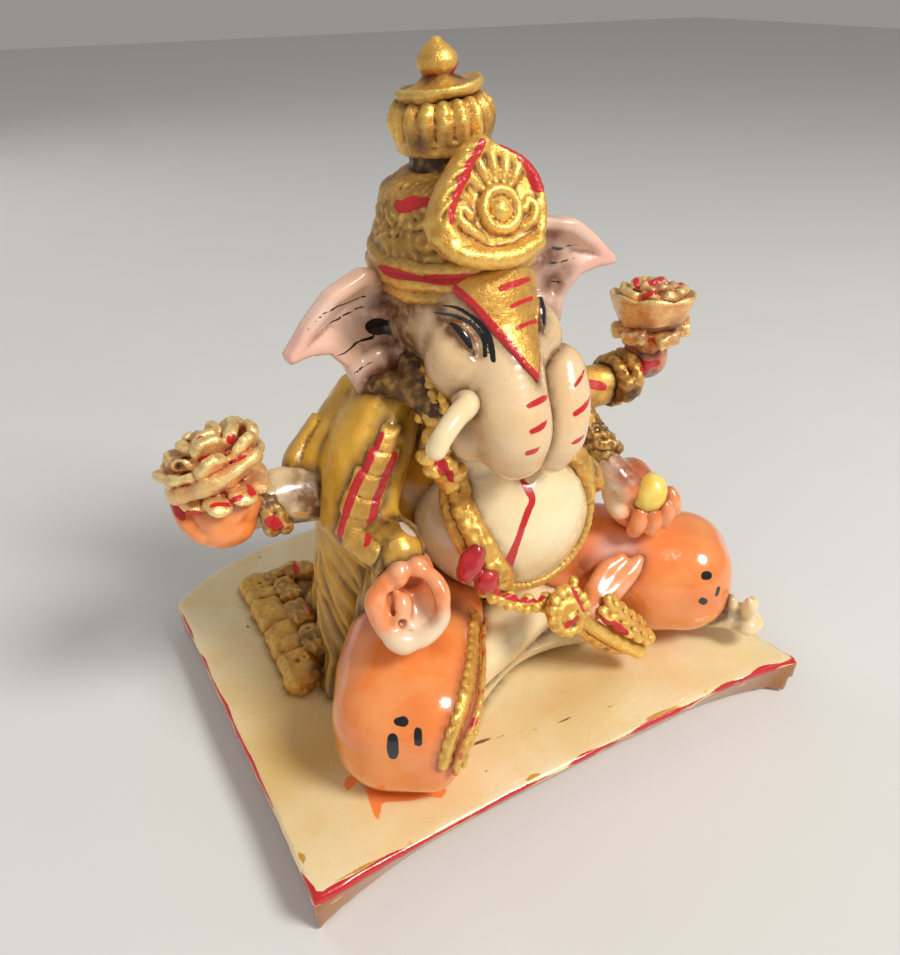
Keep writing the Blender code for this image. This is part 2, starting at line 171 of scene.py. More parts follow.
def bar(stations, steps=4, flat=None):
    """A round bar through stations of x, y, z and radius; flat gives less weight to one axis."""
    line = smooth_line(stations, steps)
    weights = np.array(flat if flat else (1.0, 1.0, 1.0))

    def distance(points):
        best = np.full(len(points), VERY_FAR)
        for start, end in zip(line, line[1:]):
            along = (end[:3] - start[:3]) * weights
            q = (points - start[:3]) * weights
            share = np.clip(q @ along / max(along @ along, TINY), 0.0, 1.0)
            gap = np.sqrt(((q - share[:, None] * along) ** 2).sum(1))
            np.minimum(best, gap - (start[3] + share * (end[3] - start[3])), out=best)
        return best

    reach = np.abs(line[:, 3:4]) / weights
    return Form(distance, (line[:, :3] - reach).min(0), (line[:, :3] + reach).max(0))


def ring(centre, radii, tube, turn=(0, 0, 0)):
    """A round hoop about its own Z axis, oval in plan."""
    centre, radii, axes = np.array(centre, float), np.array(radii, float), turn_matrix(turn)

    def distance(points):
        q = (points - centre) @ axes
        return np.hypot(oval_distance(q[:, :2], radii), q[:, 2]) - tube

    reach = np.sqrt(((axes * np.append(radii + tube, tube)) ** 2).sum(1))
    return Form(distance, centre - reach, centre + reach)


def lathe(profile, centre, flutes=0, depth=0.0):
    """A turned solid: its profile is radius and height from foot to top, and it may be fluted."""
    foot, top = profile[0][1], profile[-1][1]
    closed = [(-1.0, foot)] + list(profile) + [(-1.0, top)]
    widest = max(radius for radius, _ in profile)

    def distance(points):
        x, y = points[:, 0] - centre[0], points[:, 1] - centre[1]
        radius = np.hypot(x, y)
        gap = outline_distance(np.stack([radius, points[:, 2]], 1), closed)
        if flutes:
            flute = 1.0 - np.abs(np.sin(flutes / 2.0 * np.arctan2(y, x)))
            gap = gap + depth * flute * np.clip(radius / widest, 0, 1)
        return gap

    low = (centre[0] - widest, centre[1] - widest, foot)
    return Form(distance, low, (centre[0] + widest, centre[1] + widest, top))


def cushion(centre, half, turn=(0, 0, 0), rounding=1.0):
    """A block with well rounded edges."""
    centre, half, axes = np.array(centre, float), np.array(half, float), turn_matrix(turn)

    def distance(points):
        q = np.abs((points - centre) @ axes) - half + rounding
        outer = np.sqrt((np.maximum(q, 0.0) ** 2).sum(1))
        return outer + np.minimum(q.max(1), 0.0) - rounding

    reach = np.abs(axes) @ half
    return Form(distance, centre - reach, centre + reach)


def outline_distance(points, outline):
    """The signed distance to a closed outline in a plane, negative inside."""
    corners = np.array(outline, float)
    best = np.full(len(points), VERY_FAR**2)
    inside = np.zeros(len(points), bool)
    for start, end in zip(corners, np.roll(corners, -1, 0)):
        along, q = end - start, points - start
        share = np.clip(q @ along / max(along @ along, TINY), 0.0, 1.0)
        gap = q - share[:, None] * along
        np.minimum(best, (gap**2).sum(1), out=best)
        crosses = (start[1] > points[:, 1]) != (end[1] > points[:, 1])
        rise = along[1] if abs(along[1]) > TINY else TINY
        inside ^= crosses & (points[:, 0] < start[0] + along[0] * (points[:, 1] - start[1]) / rise)
    return np.where(inside, -1.0, 1.0) * np.sqrt(best)


def leaf(outline, thickness, centre, turn=(0, 0, 0), rounding=0.5, dish=0.0, dish_inset=1.5):
    """A plate in its own X-Z plane, rounded at its edge; its -Y face may be dished."""
    centre, axes = np.array(centre, float), turn_matrix(turn)

    def distance(points):
        q = (points - centre) @ axes
        side = outline_distance(q[:, [0, 2]], outline) + rounding
        hollow = dish * np.clip((-side - dish_inset) / 2.0, 0.0, 1.0)
        face = np.abs(q[:, 1] - hollow / 2.0) - (thickness - hollow) / 2.0 + rounding
        outer = np.sqrt(np.maximum(side, 0) ** 2 + np.maximum(face, 0) ** 2)
        return outer + np.minimum(np.maximum(side, face), 0) - rounding

    corners = np.array([(x, y, z) for x, z in outline for y in (-thickness, thickness)]) @ axes.T + centre
    return Form(distance, corners.min(0), corners.max(0))


def join(blend, *forms):
    """A smooth union."""

    def distance(points):
        total = forms[0](points)
        for form in forms[1:]:
            other = form(points)
            total = np.minimum(total, other) - seam(blend, total, other)
        return total

    low = np.min([form.low for form in forms], 0)
    high = np.max([form.high for form in forms], 0)
    return Form(distance, low, high)


def carve(blend, body, *tools):
    """A body with smooth hollows."""

    def distance(points):
        total = body(points)
        for tool in tools:
            other = -tool(points)
            total = np.maximum(total, other) + seam(blend, total, other)
        return total

    return Form(distance, body.low, body.high)


def placed(form, centre, turn):
    """A form made about the origin, turned and put in its place."""
    centre, axes = np.array(centre, float), turn_matrix(turn)
    low, high = form.low, form.high
    corners = np.array([(x, y, z) for x in (low[0], high[0]) for y in (low[1], high[1])
                        for z in (low[2], high[2])])
    corners = corners @ axes.T + centre
    return Form(lambda points: form((points - centre) @ axes), corners.min(0), corners.max(0))


def placed_value(value, centre, turn):
    """A value of points that was written for a form about the origin."""
    centre, axes = np.array(centre, float), turn_matrix(turn)
    return lambda points: value((points - centre) @ axes)


def laid_on(body, region, height, blend=0.4):
    """A sheet that follows a body's skin inside a region, raised by a height."""

    def distance(points):
        skin, side = body(points) - height, region(points)
        return np.maximum(skin, side) + seam(blend, skin, side)

    low = np.maximum(body.low - height, region.low)
    return Form(distance, low, np.minimum(body.high + height, region.high))


def relief(body, pattern, height):
    """A body whose skin is raised by a pattern of points."""
    return Form(lambda points: body(points) - height * pattern(points), body.low - height,
                body.high + height)


def noise(size, seed):
    """Smooth noise from -1 to 1 with bumps of one size."""
    cells = 24
    lattice = np.random.default_rng(seed).uniform(-1.0, 1.0, (cells, cells, cells))

    def value(points):
        q = points / size
        corner = np.floor(q).astype(int)
        f = q - corner
        f = f * f * (3.0 - 2.0 * f)
        total = np.zeros(len(points))
        for offset in np.ndindex(2, 2, 2):
            weight = np.prod(np.where(offset, f, 1.0 - f), axis=1)
            i, j, k = ((corner + offset) % cells).T
            total += weight * lattice[i, j, k]
        return total

    return value


def granules(size, seed):
    """The crumpled skin of thick gold paint over worn relief."""
    large, small = noise(size, seed), noise(size * 0.45, seed + 1)
    return lambda points: (1.0 - 2.0 * np.abs(large(points))) * 0.6 + small(points) * 0.4


def beads(line, spacing, radius, strands=1, swing=0.0):
    """A rope of small beads along a line, its strands wound about it."""
    path = smooth_line(line, 12)
    lengths = lengths_along(path)
    centres = []
    for strand in range(strands):
        for step in range(int(lengths[-1] / spacing) + 1):
            at = step * spacing
            x, y, z, _ = (np.interp(at, lengths, path[:, axis]) for axis in range(4))
            phase = math.tau * (strand / strands + at / (6.0 * spacing))
            centres.append((x + swing * math.cos(phase), y + swing * 0.5 * math.sin(phase),
                            z + swing * math.sin(phase)))
    return dots(centres, radius)


def dots(centres, radius, blend=0.25):
    """Many balls of one size."""
    centres = np.array(centres, float)

    def distance(points):
        best = np.full(len(points), VERY_FAR)
        for centre in centres:
            gap = np.sqrt(((points - centre) ** 2).sum(1)) - radius
            best = np.minimum(best, gap) - seam(blend, best, gap)
        return best

    return Form(distance, centres.min(0) - radius, centres.max(0) + radius)


def strokes(*lines, flat=(1.0, 1.0, 1.0)):
    """Brush strokes, each a list of x, y, z and half width."""
    return join(0.05, *(bar(line, 4 if len(line) > 2 else 1, flat) for line in lines))


def skin_path(body, line, steps=4, lift=0.0):
    """Stations of a line, moved onto a body's skin or a little above it."""
    path = smooth_line(line, steps).copy()
    for _ in range(6):
        spots = path[:, :3]
        gap = body(spots)
        slope = np.stack([body(spots + step) - gap for step in 0.05 * np.eye(3)], 1) / 0.05
        path[:, :3] = spots - ((gap - lift) / np.maximum((slope**2).sum(1), 0.3))[:, None] * slope
    return path


def soft_spots(*spots):
    """Soft round stains, each with its place, its radius and its strength."""

    def value(points):
        total = np.zeros(len(points))
        for centre, radius, strength in spots:
            gap = ((points - np.array(centre, float)) ** 2).sum(1) / radius**2
            total = np.maximum(total, strength * np.exp(-gap))
        return total

    return value


def fade(value, width, top=1.0):
    """0 below nothing, rising evenly to 1 over a width, and no more than top."""
    return np.clip(value / width, 0.0, top)


def everywhere(value):
    """The same value at all points."""
    return lambda points: np.full(len(points), value)


def join_values(first, second):
    """The larger of two values of points."""
    return lambda points: np.maximum(first(points), second(points))


def on_skin(body, *lines):
    """Brush strokes that follow a body's skin."""
    return join(0.05, *(bar(skin_path(body, line), 1) for line in lines))


def on_slab(*stations):
    """A brush stroke on the slab's top, from stations of x, y and half width."""
    line = [(x, y, SLAB_TOP, width) for x, y, width in stations]
    return bar(line if len(line) > 1 else line * 2)


# ---------------------------------------------------------------------------------------------------
# From fields to painted meshes
# ---------------------------------------------------------------------------------------------------


def sample(form, step):
    """The field on a grid, worked out in full only near the surface."""
    margin = 2.0 * step
    low = form.low - margin
    block = step * BLOCK
    counts = np.ceil((form.high + margin - low) / block).astype(int) + 1
    corners = np.stack(np.meshgrid(*(np.arange(n) for n in counts), indexing="ij"), -1).reshape(-1, 3)
    rough = form(low + (corners + 0.5) * block)
    values = np.sign(rough).reshape(counts) * BAND * step
    for axis in range(3):
        values = np.repeat(values, BLOCK, axis)
    near = corners[np.abs(rough) < block * 1.7]
    offsets = np.stack(np.meshgrid(*(np.arange(BLOCK),) * 3, indexing="ij"), -1).reshape(1, -1, 3)
    cells = (near[:, None, :] * BLOCK + offsets).reshape(-1, 3)
    fine = form(low + cells * step)
    values[tuple(cells.T)] = np.clip(fine, -BAND * step, BAND * step)
    return low, values


def polygonise(form, step):
    """The vertices and quads of a form's skin."""
    low, values = sample(form, step)
    grid = openvdb.FloatGrid(BAND * step)
    grid.copyFromArray(values.astype(np.float32))
    points, quads = grid.convertToQuads(isovalue=0.0)
    return points * step + low, quads


def neighbour_mean(values, edges, counts):
    """Each vertex's mean over its neighbours."""
    total = np.zeros_like(values)
    for axis in range(values.shape[1]):
        total[:, axis] = np.bincount(edges[:, 0], values[edges[:, 1], axis], len(values))
        total[:, axis] += np.bincount(edges[:, 1], values[edges[:, 0], axis], len(values))
    return total / counts[:, None]


def cavity(mesh, points):
    """From -1 on ridges to 1 in grooves."""
    edges = np.zeros(len(mesh.edges) * 2, int)
    mesh.edges.foreach_get("vertices", edges)
    edges = edges.reshape(-1, 2)
    counts = np.maximum(np.bincount(edges.ravel(), minlength=len(points)), 1)
    normals = np.zeros(len(points) * 3)
    mesh.vertices.foreach_get("normal", normals)
    soft = points
    for _ in range(CAVITY_ROUNDS):
        soft = 0.5 * soft + 0.5 * neighbour_mean(soft, edges, counts)
    depth = ((soft - points) * normals.reshape(-1, 3)).sum(1) / CAVITY_FULL
    return np.clip(depth, -1.0, 1.0)


def add_attribute(mesh, name, values):
    """Keeps one number for each vertex."""
    layer = mesh.attributes.new(name, "FLOAT", "POINT")
    layer.data.foreach_set("value", np.asarray(values, np.float32))


FORMS = {}  # every form by its piece's name, and whether it leans
PLANS = []  # what to make of each form, in order


def plan(name, form, step, slot, material, marks=None, wash_and_shade=1.0, leaned=True, replaces=None):
    """Notes a form down; all are cast at the end, when each one's neighbours are known.

    marks holds a field of strokes for each brush, and, as values from 0 to 1, the spots of stains and
    painted shade and the tint. The number after marks is how much the brown of washes and painted contact
    shade gathers beside other forms; replaces names the CAD nodes stood for.
    """
    form = planted(form) if leaned else form
    FORMS[name] = (form, leaned)
    PLANS.append((name, form, step, slot, material, marks or {}, wash_and_shade, leaned, replaces or [name]))


def lean(points, way):
    """Points leaned as the figure is, or stood up again when way is -1."""
    angle = LEAN * way
    x, z = points[:, 0], points[:, 2] - LEAN_HEIGHT
    return np.stack([
        x * math.cos(angle) + z * math.sin(angle),
        points[:, 1],
        z * math.cos(angle) - x * math.sin(angle) + LEAN_HEIGHT,
    ], 1)


def planted(form):
    """A form of the figure, cut off inside the slab."""

    def distance(points):
        return np.maximum(form(points), ROOT_HEIGHT - lean(points, 1)[:, 2])

    return Form(distance, form.low, form.high)


# Painted contact shade, with the brown of washes: skins darken where another form comes near
def closeness(name, points, leaned):
    """1 where another form's skin is near, 0 where none is."""
    nearest = np.full(len(points), VERY_FAR)
    for other, (form, other_leaned) in FORMS.items():
        if other == name:
            continue
        there = points if leaned == other_leaned else lean(points, 1 if leaned else -1)
        near = ((there > form.low - WASH_AND_SHADE_REACH) & (there < form.high + WASH_AND_SHADE_REACH)).all(1)
        if near.any():
            nearest[near] = np.minimum(nearest[near], form(there[near]))
    return np.clip(1.0 - nearest / WASH_AND_SHADE_REACH, 0.0, 1.0) ** 1.5


def add_object(name, data):
    piece = bpy.data.objects.new(name, data)
    bpy.context.scene.collection.objects.link(piece)
    return piece


def cast(name, form, step, slot, material, marks, wash_and_shade, leaned, replaces):
    """Makes a form's mesh, with its paint's attributes, in the place of its CAD nodes."""
    points, quads = polygonise(form, step)
    mesh = bpy.data.meshes.new(f"{name}_cast")
    mesh.from_pydata([], [], [])
    mesh.vertices.add(len(points))
    mesh.loops.add(quads.size)
    mesh.polygons.add(len(quads))
    mesh.vertices.foreach_set("co", points.ravel())
    mesh.loops.foreach_set("vertex_index", quads.ravel().astype(np.int32))
    mesh.polygons.foreach_set("loop_start", np.arange(0, quads.size, 4, dtype=np.int32))
    mesh.update(calc_edges=True)
    mesh.validate()
    mesh.polygons.foreach_set("use_smooth", np.ones(len(mesh.polygons), bool))
    add_attribute(mesh, "cavity", cavity(mesh, points))
    # Painted shade with real stains and washes: kept on the mesh as one value from 0 to 1
    stain_and_shade = marks["stain_and_shade"](points) if "stain_and_shade" in marks else 0.0
    add_attribute(mesh, "wash_and_shade", np.clip(wash_and_shade * closeness(name, points, leaned) + stain_and_shade, 0.0, 1.0))
    add_attribute(mesh, "tint", marks["tint"](points) if "tint" in marks else np.zeros(len(points)))
    for mark in BRUSHES:
        add_attribute(mesh, mark, marks[mark](points) if mark in marks else np.full(len(points), FAR))
    mesh.transform(Matrix.Scale(MM, 4) @ (LEANED if leaned else Matrix.Identity(4)))
    mesh.materials.append(material)
    piece = add_object(f"{name}_cast", mesh)
    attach(piece, "root")
    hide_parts(*replaces)


# ---------------------------------------------------------------------------------------------------
# Paints
# ---------------------------------------------------------------------------------------------------

BROWN = (0.085, 0.032, 0.010)
UMBER = (0.20, 0.085, 0.025)
RED = (0.58, 0.018, 0.022)
BLACK = (0.006, 0.005, 0.008)
GOLD = (0.94, 0.53, 0.11)
IVORY = (0.88, 0.69, 0.37)
CREAM = (0.92, 0.78, 0.49)
ORANGE = (0.91, 0.25, 0.055)
PALE_ORANGE = (0.95, 0.34, 0.10)
YELLOW = (0.58, 0.30, 0.018)
PALE_YELLOW = (0.74, 0.42, 0.045)
PINK = (0.80, 0.46, 0.36)
PALE_PINK = (0.86, 0.66, 0.54)

# Brush strokes: colour, roughness and metal of each, in the order that they were laid
BRUSHES = {
    "copper": ((0.44, 0.17, 0.035), 0.42, 0.35),
    "pale": ((0.62, 0.52, 0.42), 0.30, 0.0),
    "gold": (GOLD, 0.34, 0.62),
    "orange": ((0.92, 0.27, 0.07), 0.20, 0.0),
    "brown": (UMBER, 0.35, 0.0),
    "red": (RED, 0.22, 0.0),
    "black": (BLACK, 0.20, 0.0),
}


class Graph:
    """Short ways to add the shader nodes that the paints share."""

    def __init__(self, name):
        self.material = bpy.data.materials.new(name)
        self.material.use_nodes = True
        self.tree = self.material.node_tree
        self.shader = self.tree.nodes["Principled BSDF"]
        self.place = self.add("ShaderNodeTexCoord").outputs["Object"]

    def add(self, kind, **settings):
        node = self.tree.nodes.new(kind)
        for key, value in settings.items():
            setattr(node, key, value)
        return node

    def set(self, socket, value):
        if isinstance(value, bpy.types.NodeSocket):
            self.tree.links.new(value, socket)
        elif isinstance(value, tuple) and len(value) == 3 and socket.type == "RGBA":
            socket.default_value = (*value, 1.0)
        else:
            socket.default_value = value

    def attribute(self, name):
        return self.add("ShaderNodeAttribute", attribute_name=name).outputs["Fac"]

    def noise(self, size, detail=3.0, roughness=0.55):
        """Noise with bumps of a size in millimetres, from 0 to 1."""
        node = self.add("ShaderNodeTexNoise")
        self.set(node.inputs["Vector"], self.place)
        node.inputs["Scale"].default_value = 1.0 / (size * MM)
        node.inputs["Detail"].default_value = detail
        node.inputs["Roughness"].default_value = roughness
        return node.outputs["Fac"]

    def ramp(self, value, low, high, start=0.0, end=1.0):
        node = self.add("ShaderNodeMapRange", clamp=True, interpolation_type="SMOOTHSTEP")
        for key, each in zip(("Value", "From Min", "From Max", "To Min", "To Max"),
                             (value, low, high, start, end)):
            self.set(node.inputs[key], each)
        return node.outputs["Result"]

    def math(self, operation, first, second):
        node = self.add("ShaderNodeMath", operation=operation)
        self.set(node.inputs[0], first)
        self.set(node.inputs[1], second)
        return node.outputs[0]

    def mix(self, factor, first, second):
        node = self.add("ShaderNodeMix", data_type="RGBA")
        self.set(node.inputs["Factor"], factor)
        self.set(node.inputs[6], first)
        self.set(node.inputs[7], second)
        return node.outputs[2]

    def stroke(self, name, ragged):
        """1 inside a brush stroke, from the distance kept on the mesh, with a ragged edge."""
        distance = self.math("ADD", self.attribute(name), self.math("MULTIPLY", ragged, 0.16))
        return self.ramp(distance, -0.06, 0.04, 1.0, 0.0)


def paint(
    name,
    base,
    second,
    roughness=0.3,
    metallic=0.0,
    patch=6.0,
    coat=0.5,
    subsurface=0.0,
    grain=0.25,
    bump=0.03,
    wash_and_shade=BROWN,
    groove=0.5,
    wear_and_highlight=0.0,
    tint=PINK,
    sheen_noise=0.12,
):
    """Hand-laid paint: patchy colour, brown washes and painted shade in the grooves and beside other forms,
    ridges lightened by rubbing and painted highlight, and brush strokes on top.
    """
    g = Graph(name)
    patches = g.ramp(g.noise(patch), 0.35, 0.68)
    fine = g.noise(grain)
    colour = g.mix(patches, base, second)
    colour = g.mix(g.attribute("tint"), colour, tint)
    speck = g.ramp(fine, 0.62, 0.80, 0.0, 0.25)
    colour = g.mix(speck, colour, wash_and_shade)
    # Painted shade, with the brown of washes: the grooves darken, and so do skins near other forms and at
    # the spots of stains and painted shade
    hollow = g.ramp(g.attribute("cavity"), 0.12, 0.85, 0.0, groove)
    broken = g.ramp(g.noise(1.3, 4.0), 0.25, 0.62)
    gathered_with_shade = g.math("MULTIPLY", g.attribute("wash_and_shade"), g.ramp(broken, 0.0, 1.0, 0.6, 1.0))
    dirt_and_shade = g.math("MAXIMUM", hollow, gathered_with_shade)
    # Ridges lighten: rubbed paint and painted highlight
    ridge = g.ramp(g.attribute("cavity"), -0.15, -0.8, 0.0, wear_and_highlight)
    colour = g.mix(ridge, colour, tuple(min(1.0, channel * 1.35 + 0.05) for channel in base))
    colour = g.mix(dirt_and_shade, colour, wash_and_shade)
    ragged = g.math("SUBTRACT", g.noise(0.8), 0.5)
    shine = g.ramp(fine, 0.3, 0.7, roughness - sheen_noise / 2, roughness + sheen_noise / 2)
    shine = g.math("ADD", shine, g.math("MULTIPLY", dirt_and_shade, 0.15))
    metal = g.math("MULTIPLY", metallic, g.math("SUBTRACT", 1.0, g.math("MULTIPLY", dirt_and_shade, 0.8)))
    for stroke, (laid, rough, shiny) in BRUSHES.items():
        inside = g.stroke(stroke, ragged)
        colour = g.mix(inside, colour, laid)
        shine = g.ramp(inside, 0.0, 1.0, shine, rough)
        metal = g.ramp(inside, 0.0, 1.0, metal, shiny)
    g.set(g.shader.inputs["Base Color"], colour)
    g.set(g.shader.inputs["Roughness"], shine)
    g.set(g.shader.inputs["Metallic"], metal)
    g.shader.inputs["Coat Weight"].default_value = coat
    g.shader.inputs["Coat Roughness"].default_value = 0.08
    if subsurface:
        g.shader.inputs["Subsurface Weight"].default_value = subsurface
        g.shader.inputs["Subsurface Radius"].default_value = (1.0, 0.55, 0.25)
        g.shader.inputs["Subsurface Scale"].default_value = 2.0 * MM
    rough_skin = g.add("ShaderNodeBump")
    rough_skin.inputs["Strength"].default_value = 0.6
    rough_skin.inputs["Distance"].default_value = bump * MM * 4.0
    g.set(rough_skin.inputs["Height"], g.math("ADD", fine, g.math("MULTIPLY", g.noise(grain * 4.0), 0.8)))
    g.set(g.shader.inputs["Normal"], rough_skin.outputs["Normal"])
    return g.material


IVORY_RESIN = paint("ivory_resin_look", CREAM, IVORY, 0.26, subsurface=0.25, coat=0.6, bump=0.008,
                    groove=0.35, wash_and_shade=(0.26, 0.12, 0.035), patch=9.0, grain=0.5, tint=(0.62, 0.37, 0.05))
FLESH = paint("ivory_flesh_look", CREAM, (0.90, 0.69, 0.40), 0.24, subsurface=0.2, coat=0.6, bump=0.006,
              groove=0.5, wash_and_shade=(0.18, 0.075, 0.025), patch=8.0, grain=0.6, tint=(0.22, 0.105, 0.045))
FACE = paint("ivory_face_look", (0.86, 0.63, 0.38), (0.80, 0.55, 0.29), 0.24, subsurface=0.2, coat=0.6,
             bump=0.006, groove=0.6, wash_and_shade=(0.17, 0.065, 0.016), patch=8.0, grain=0.6)
ORANGE_GLOSS = paint("orange_gloss_look", ORANGE, PALE_ORANGE, 0.20, coat=0.8, bump=0.008, groove=0.35,
                     wash_and_shade=(0.30, 0.05, 0.02), patch=7.0, grain=0.6, subsurface=0.10,
                     tint=(0.80, 0.56, 0.52))
GOLD_FOIL = paint("gold_paint_look", GOLD, (0.76, 0.38, 0.07), 0.34, metallic=0.6, coat=0.3, bump=0.03,
                  groove=0.9, wear_and_highlight=0.6, patch=2.5, grain=0.22, sheen_noise=0.25, wash_and_shade=(0.12, 0.035, 0.008))
AGED_GOLD = paint("aged_gold_look", (0.62, 0.34, 0.08), GOLD, 0.40, metallic=0.6, coat=0.3, bump=0.03,
                  groove=0.95, wear_and_highlight=0.8, patch=1.8, grain=0.22, sheen_noise=0.25, wash_and_shade=(0.05, 0.018, 0.008))
# Its dark brown tint is painted shade on the drape and at the back of the sleeve
YELLOW_CLOTH = paint("yellow_shawl_look", YELLOW, PALE_YELLOW, 0.32, coat=0.45, bump=0.014, groove=0.75,
                     wear_and_highlight=0.4, patch=5.0, grain=0.35, wash_and_shade=(0.13, 0.052, 0.010), tint=(0.20, 0.085, 0.022))
PINK_EAR = paint("pink_ear_look", PALE_PINK, (0.80, 0.52, 0.36), 0.30, subsurface=0.2, coat=0.5, bump=0.006,
                 groove=0.5, patch=6.0, grain=0.5, wash_and_shade=(0.22, 0.08, 0.035), tint=(0.86, 0.50, 0.40))
# A darker gold; on the crown's dome it is painted shade
DARK_GOLD = paint("dark_gold_look", (0.70, 0.40, 0.09), (0.44, 0.21, 0.045), 0.38, metallic=0.62, coat=0.3,
                  bump=0.03, groove=1.0, wear_and_highlight=0.9, patch=3.0, grain=0.22, sheen_noise=0.25,
                  wash_and_shade=(0.07, 0.02, 0.005))
LOTUS_GOLD = paint("lotus_gold_look", (0.95, 0.60, 0.24), (0.80, 0.36, 0.13), 0.34, metallic=0.5, coat=0.35,
                   bump=0.03, groove=1.0, wear_and_highlight=0.7, patch=1.6, grain=0.22, sheen_noise=0.25,
                   wash_and_shade=(0.30, 0.05, 0.03))
ORANGE_SKIN = paint("orange_skin_look", (0.93, 0.38, 0.17), (0.90, 0.26, 0.08), 0.22, coat=0.7, bump=0.008,
                    groove=0.7, wash_and_shade=(0.34, 0.07, 0.02), patch=2.0, grain=0.5, subsurface=0.15,
                    tint=(0.90, 0.74, 0.52))
ROSE_SKIN = paint("rose_skin_look", (0.70, 0.22, 0.16), (0.60, 0.30, 0.18), 0.30, coat=0.5, bump=0.008,
                  groove=0.8, patch=2.0, grain=0.5)
PALE_ROSE = paint("pale_rose_look", (0.92, 0.44, 0.24), (0.92, 0.32, 0.11), 0.24, coat=0.7, bump=0.006,
                  groove=0.6, wash_and_shade=(0.30, 0.08, 0.03), patch=3.0, grain=0.5, subsurface=0.15)
SWEET = paint("sweet_look", (0.96, 0.78, 0.18), (0.95, 0.62, 0.10), 0.28, coat=0.6, bump=0.012, groove=0.4,
              wash_and_shade=(0.45, 0.20, 0.04), patch=2.0, grain=0.4)
RED_GLOSS = paint("red_gloss_look", RED, (0.42, 0.01, 0.02), 0.18, coat=0.9, bump=0.02, groove=0.4,
                  patch=2.0)


# ---------------------------------------------------------------------------------------------------
# The slab
# ---------------------------------------------------------------------------------------------------


def slab_outline(insets, corner_inset):
    """The slab's plan: each side is drawn in between its corners, or swells out if its inset is negative."""
    left, right, front = SLAB_LOW[0], SLAB_HIGH[0], SLAB_LOW[1]
    back = SLAB_HIGH[1] + SIDE_BOWS[2]
    corners = [(left, front), (right, front), (right, back), (left, back)]
    ring = []
    for start, end, inset in zip(corners, corners[1:] + corners[:1], insets):
        start, end = np.array(start), np.array(end)
        along = (end - start) / np.linalg.norm(end - start)
        inward = np.array((-along[1], along[0]))
        for share in np.arange(SIDE_STEPS) / SIDE_STEPS:
            bow = 1.0 - abs(2.0 * share - 1.0) ** 4
            ring.append(start + (end - start) * share + inward * (inset * bow + corner_inset * (1.0 - bow)))
    return ring


def slab():
    """The slab's form, and its paint: red edge, gold flecks, copper side, orange drips and small stains."""
    top = slab_outline(SIDE_BOWS, EDGE_INSET)
    foot = slab_outline([bow + under for bow, under in zip(SIDE_BOWS, UNDERCUTS)],
                        UNDERCUT_CORNER + EDGE_INSET)
    uneven, chips, wander, spots = noise(9.0, 3), noise(1.6, 4), noise(4.0, 8), noise(2.2, 9)

    def distance(points):
        share = np.clip(points[:, 2] / SLAB_TOP, 0.0, 1.0)
        across = points[:, :2]
        side = outline_distance(across, top) * share + outline_distance(across, foot) * (1 - share)
        side = side + 0.22 * uneven(points) + 0.12 * chips(points) * (share > 0.5)
        up, down = points[:, 2] - SLAB_TOP + 0.10 * (1.0 + uneven(points)), -points[:, 2]
        total = side
        for face, blend in ((up, 1.2), (down, 0.6)):
            total = np.maximum(total, face) + seam(blend, total, face)
        return total

    body = Form(distance, SLAB_LOW - 0.5, SLAB_HIGH + 0.5)

    def along_edge(points, inset, drop):
        rim = outline_distance(points[:, :2], top)
        return np.hypot(rim + inset, points[:, 2] - SLAB_TOP + drop)

    def red_line(points):
        front = points[:, 1] < SLAB_LOW[1] + 6.0
        left = points[:, 0] < SLAB_LOW[0] + 3.0
        width = np.where(front, 0.62, np.where(left, 0.30, -2.0)) + 0.45 * wander(points)
        return along_edge(points, 0.3, 0.5) - width

    def gold_line(points):
        flecks = along_edge(points, 1.1 + 0.35 * wander(points + 3.0), 0.0) - (0.14 + 0.6 * spots(points))
        side = np.maximum(np.abs(points[:, 2] - SLAB_TOP + 2.2 + wander(points)) - 0.5 * spots(points),
                          0.1 - (SLAB_TOP - 1.2 - points[:, 2]))
        behind = np.maximum(points[:, 1] - SLAB_LOW[1] - 8.0, 0.0)
        return np.minimum(flecks, side) + behind

    def copper_side(points):
        return points[:, 2] - (SLAB_TOP - 1.0 + 0.35 * chips(points * 0.6))

    def drips(points):
        knee = FORMS["right_knee"][0](lean(points, -1)) - 1.0 - 1.3 * wander(points * 1.3)
        behind = np.maximum(points[:, 1] + 17.0, 0.0)
        runs = on_slab((-28.6, -20.8, 1.5), (-30.0, -24.0, 0.8), (-30.7, -25.9, 0.4))
        runs = np.minimum(runs(points), on_slab((-31.4, -18.6, 0.9), (-32.4, -19.6, 0.5))(points))
        return np.minimum(knee + behind, runs)

    def stains(points):
        varnish = on_slab((-14.0, -21.6, 0.16), (-9.6, -22.4, 0.22), (-2.4, -24.2, 0.16),
                          (5.6, -25.4, 0.22), (12.0, -26.4, 0.14))(points)
        marks = np.minimum(on_slab((-33.7, 20.4, 0.5))(points), on_slab((-25.1, 38.8, 0.4))(points))
        for x, y, size in ((-14, -27, 0.3), (3, -29, 0.25), (22, -28, 0.3), (29, -27, 0.35),
                           (-38, -8, 0.25), (16, -29.6, 0.2)):
            marks = np.minimum(marks, on_slab((x, y, size))(points))
        return np.minimum(varnish + 0.2 * spots(points), marks)

    def ochre(points):
        left = np.exp(-(((points[:, 0] + 33.0) / 13.0) ** 2 + ((points[:, 1] + 8.0) / 17.0) ** 2))
        middle = 0.5 * np.exp(-(((points[:, 0] - 2.0) / 18.0) ** 2 + ((points[:, 1] + 21.0) / 5.0) ** 2))
        return np.clip((0.75 * left + middle) * (0.9 + 0.4 * wander(points * 0.6)), 0.0, 1.0)

    return body, {"red": red_line, "gold": gold_line, "copper": copper_side, "orange": drips,
                  "brown": stains, "tint": ochre}


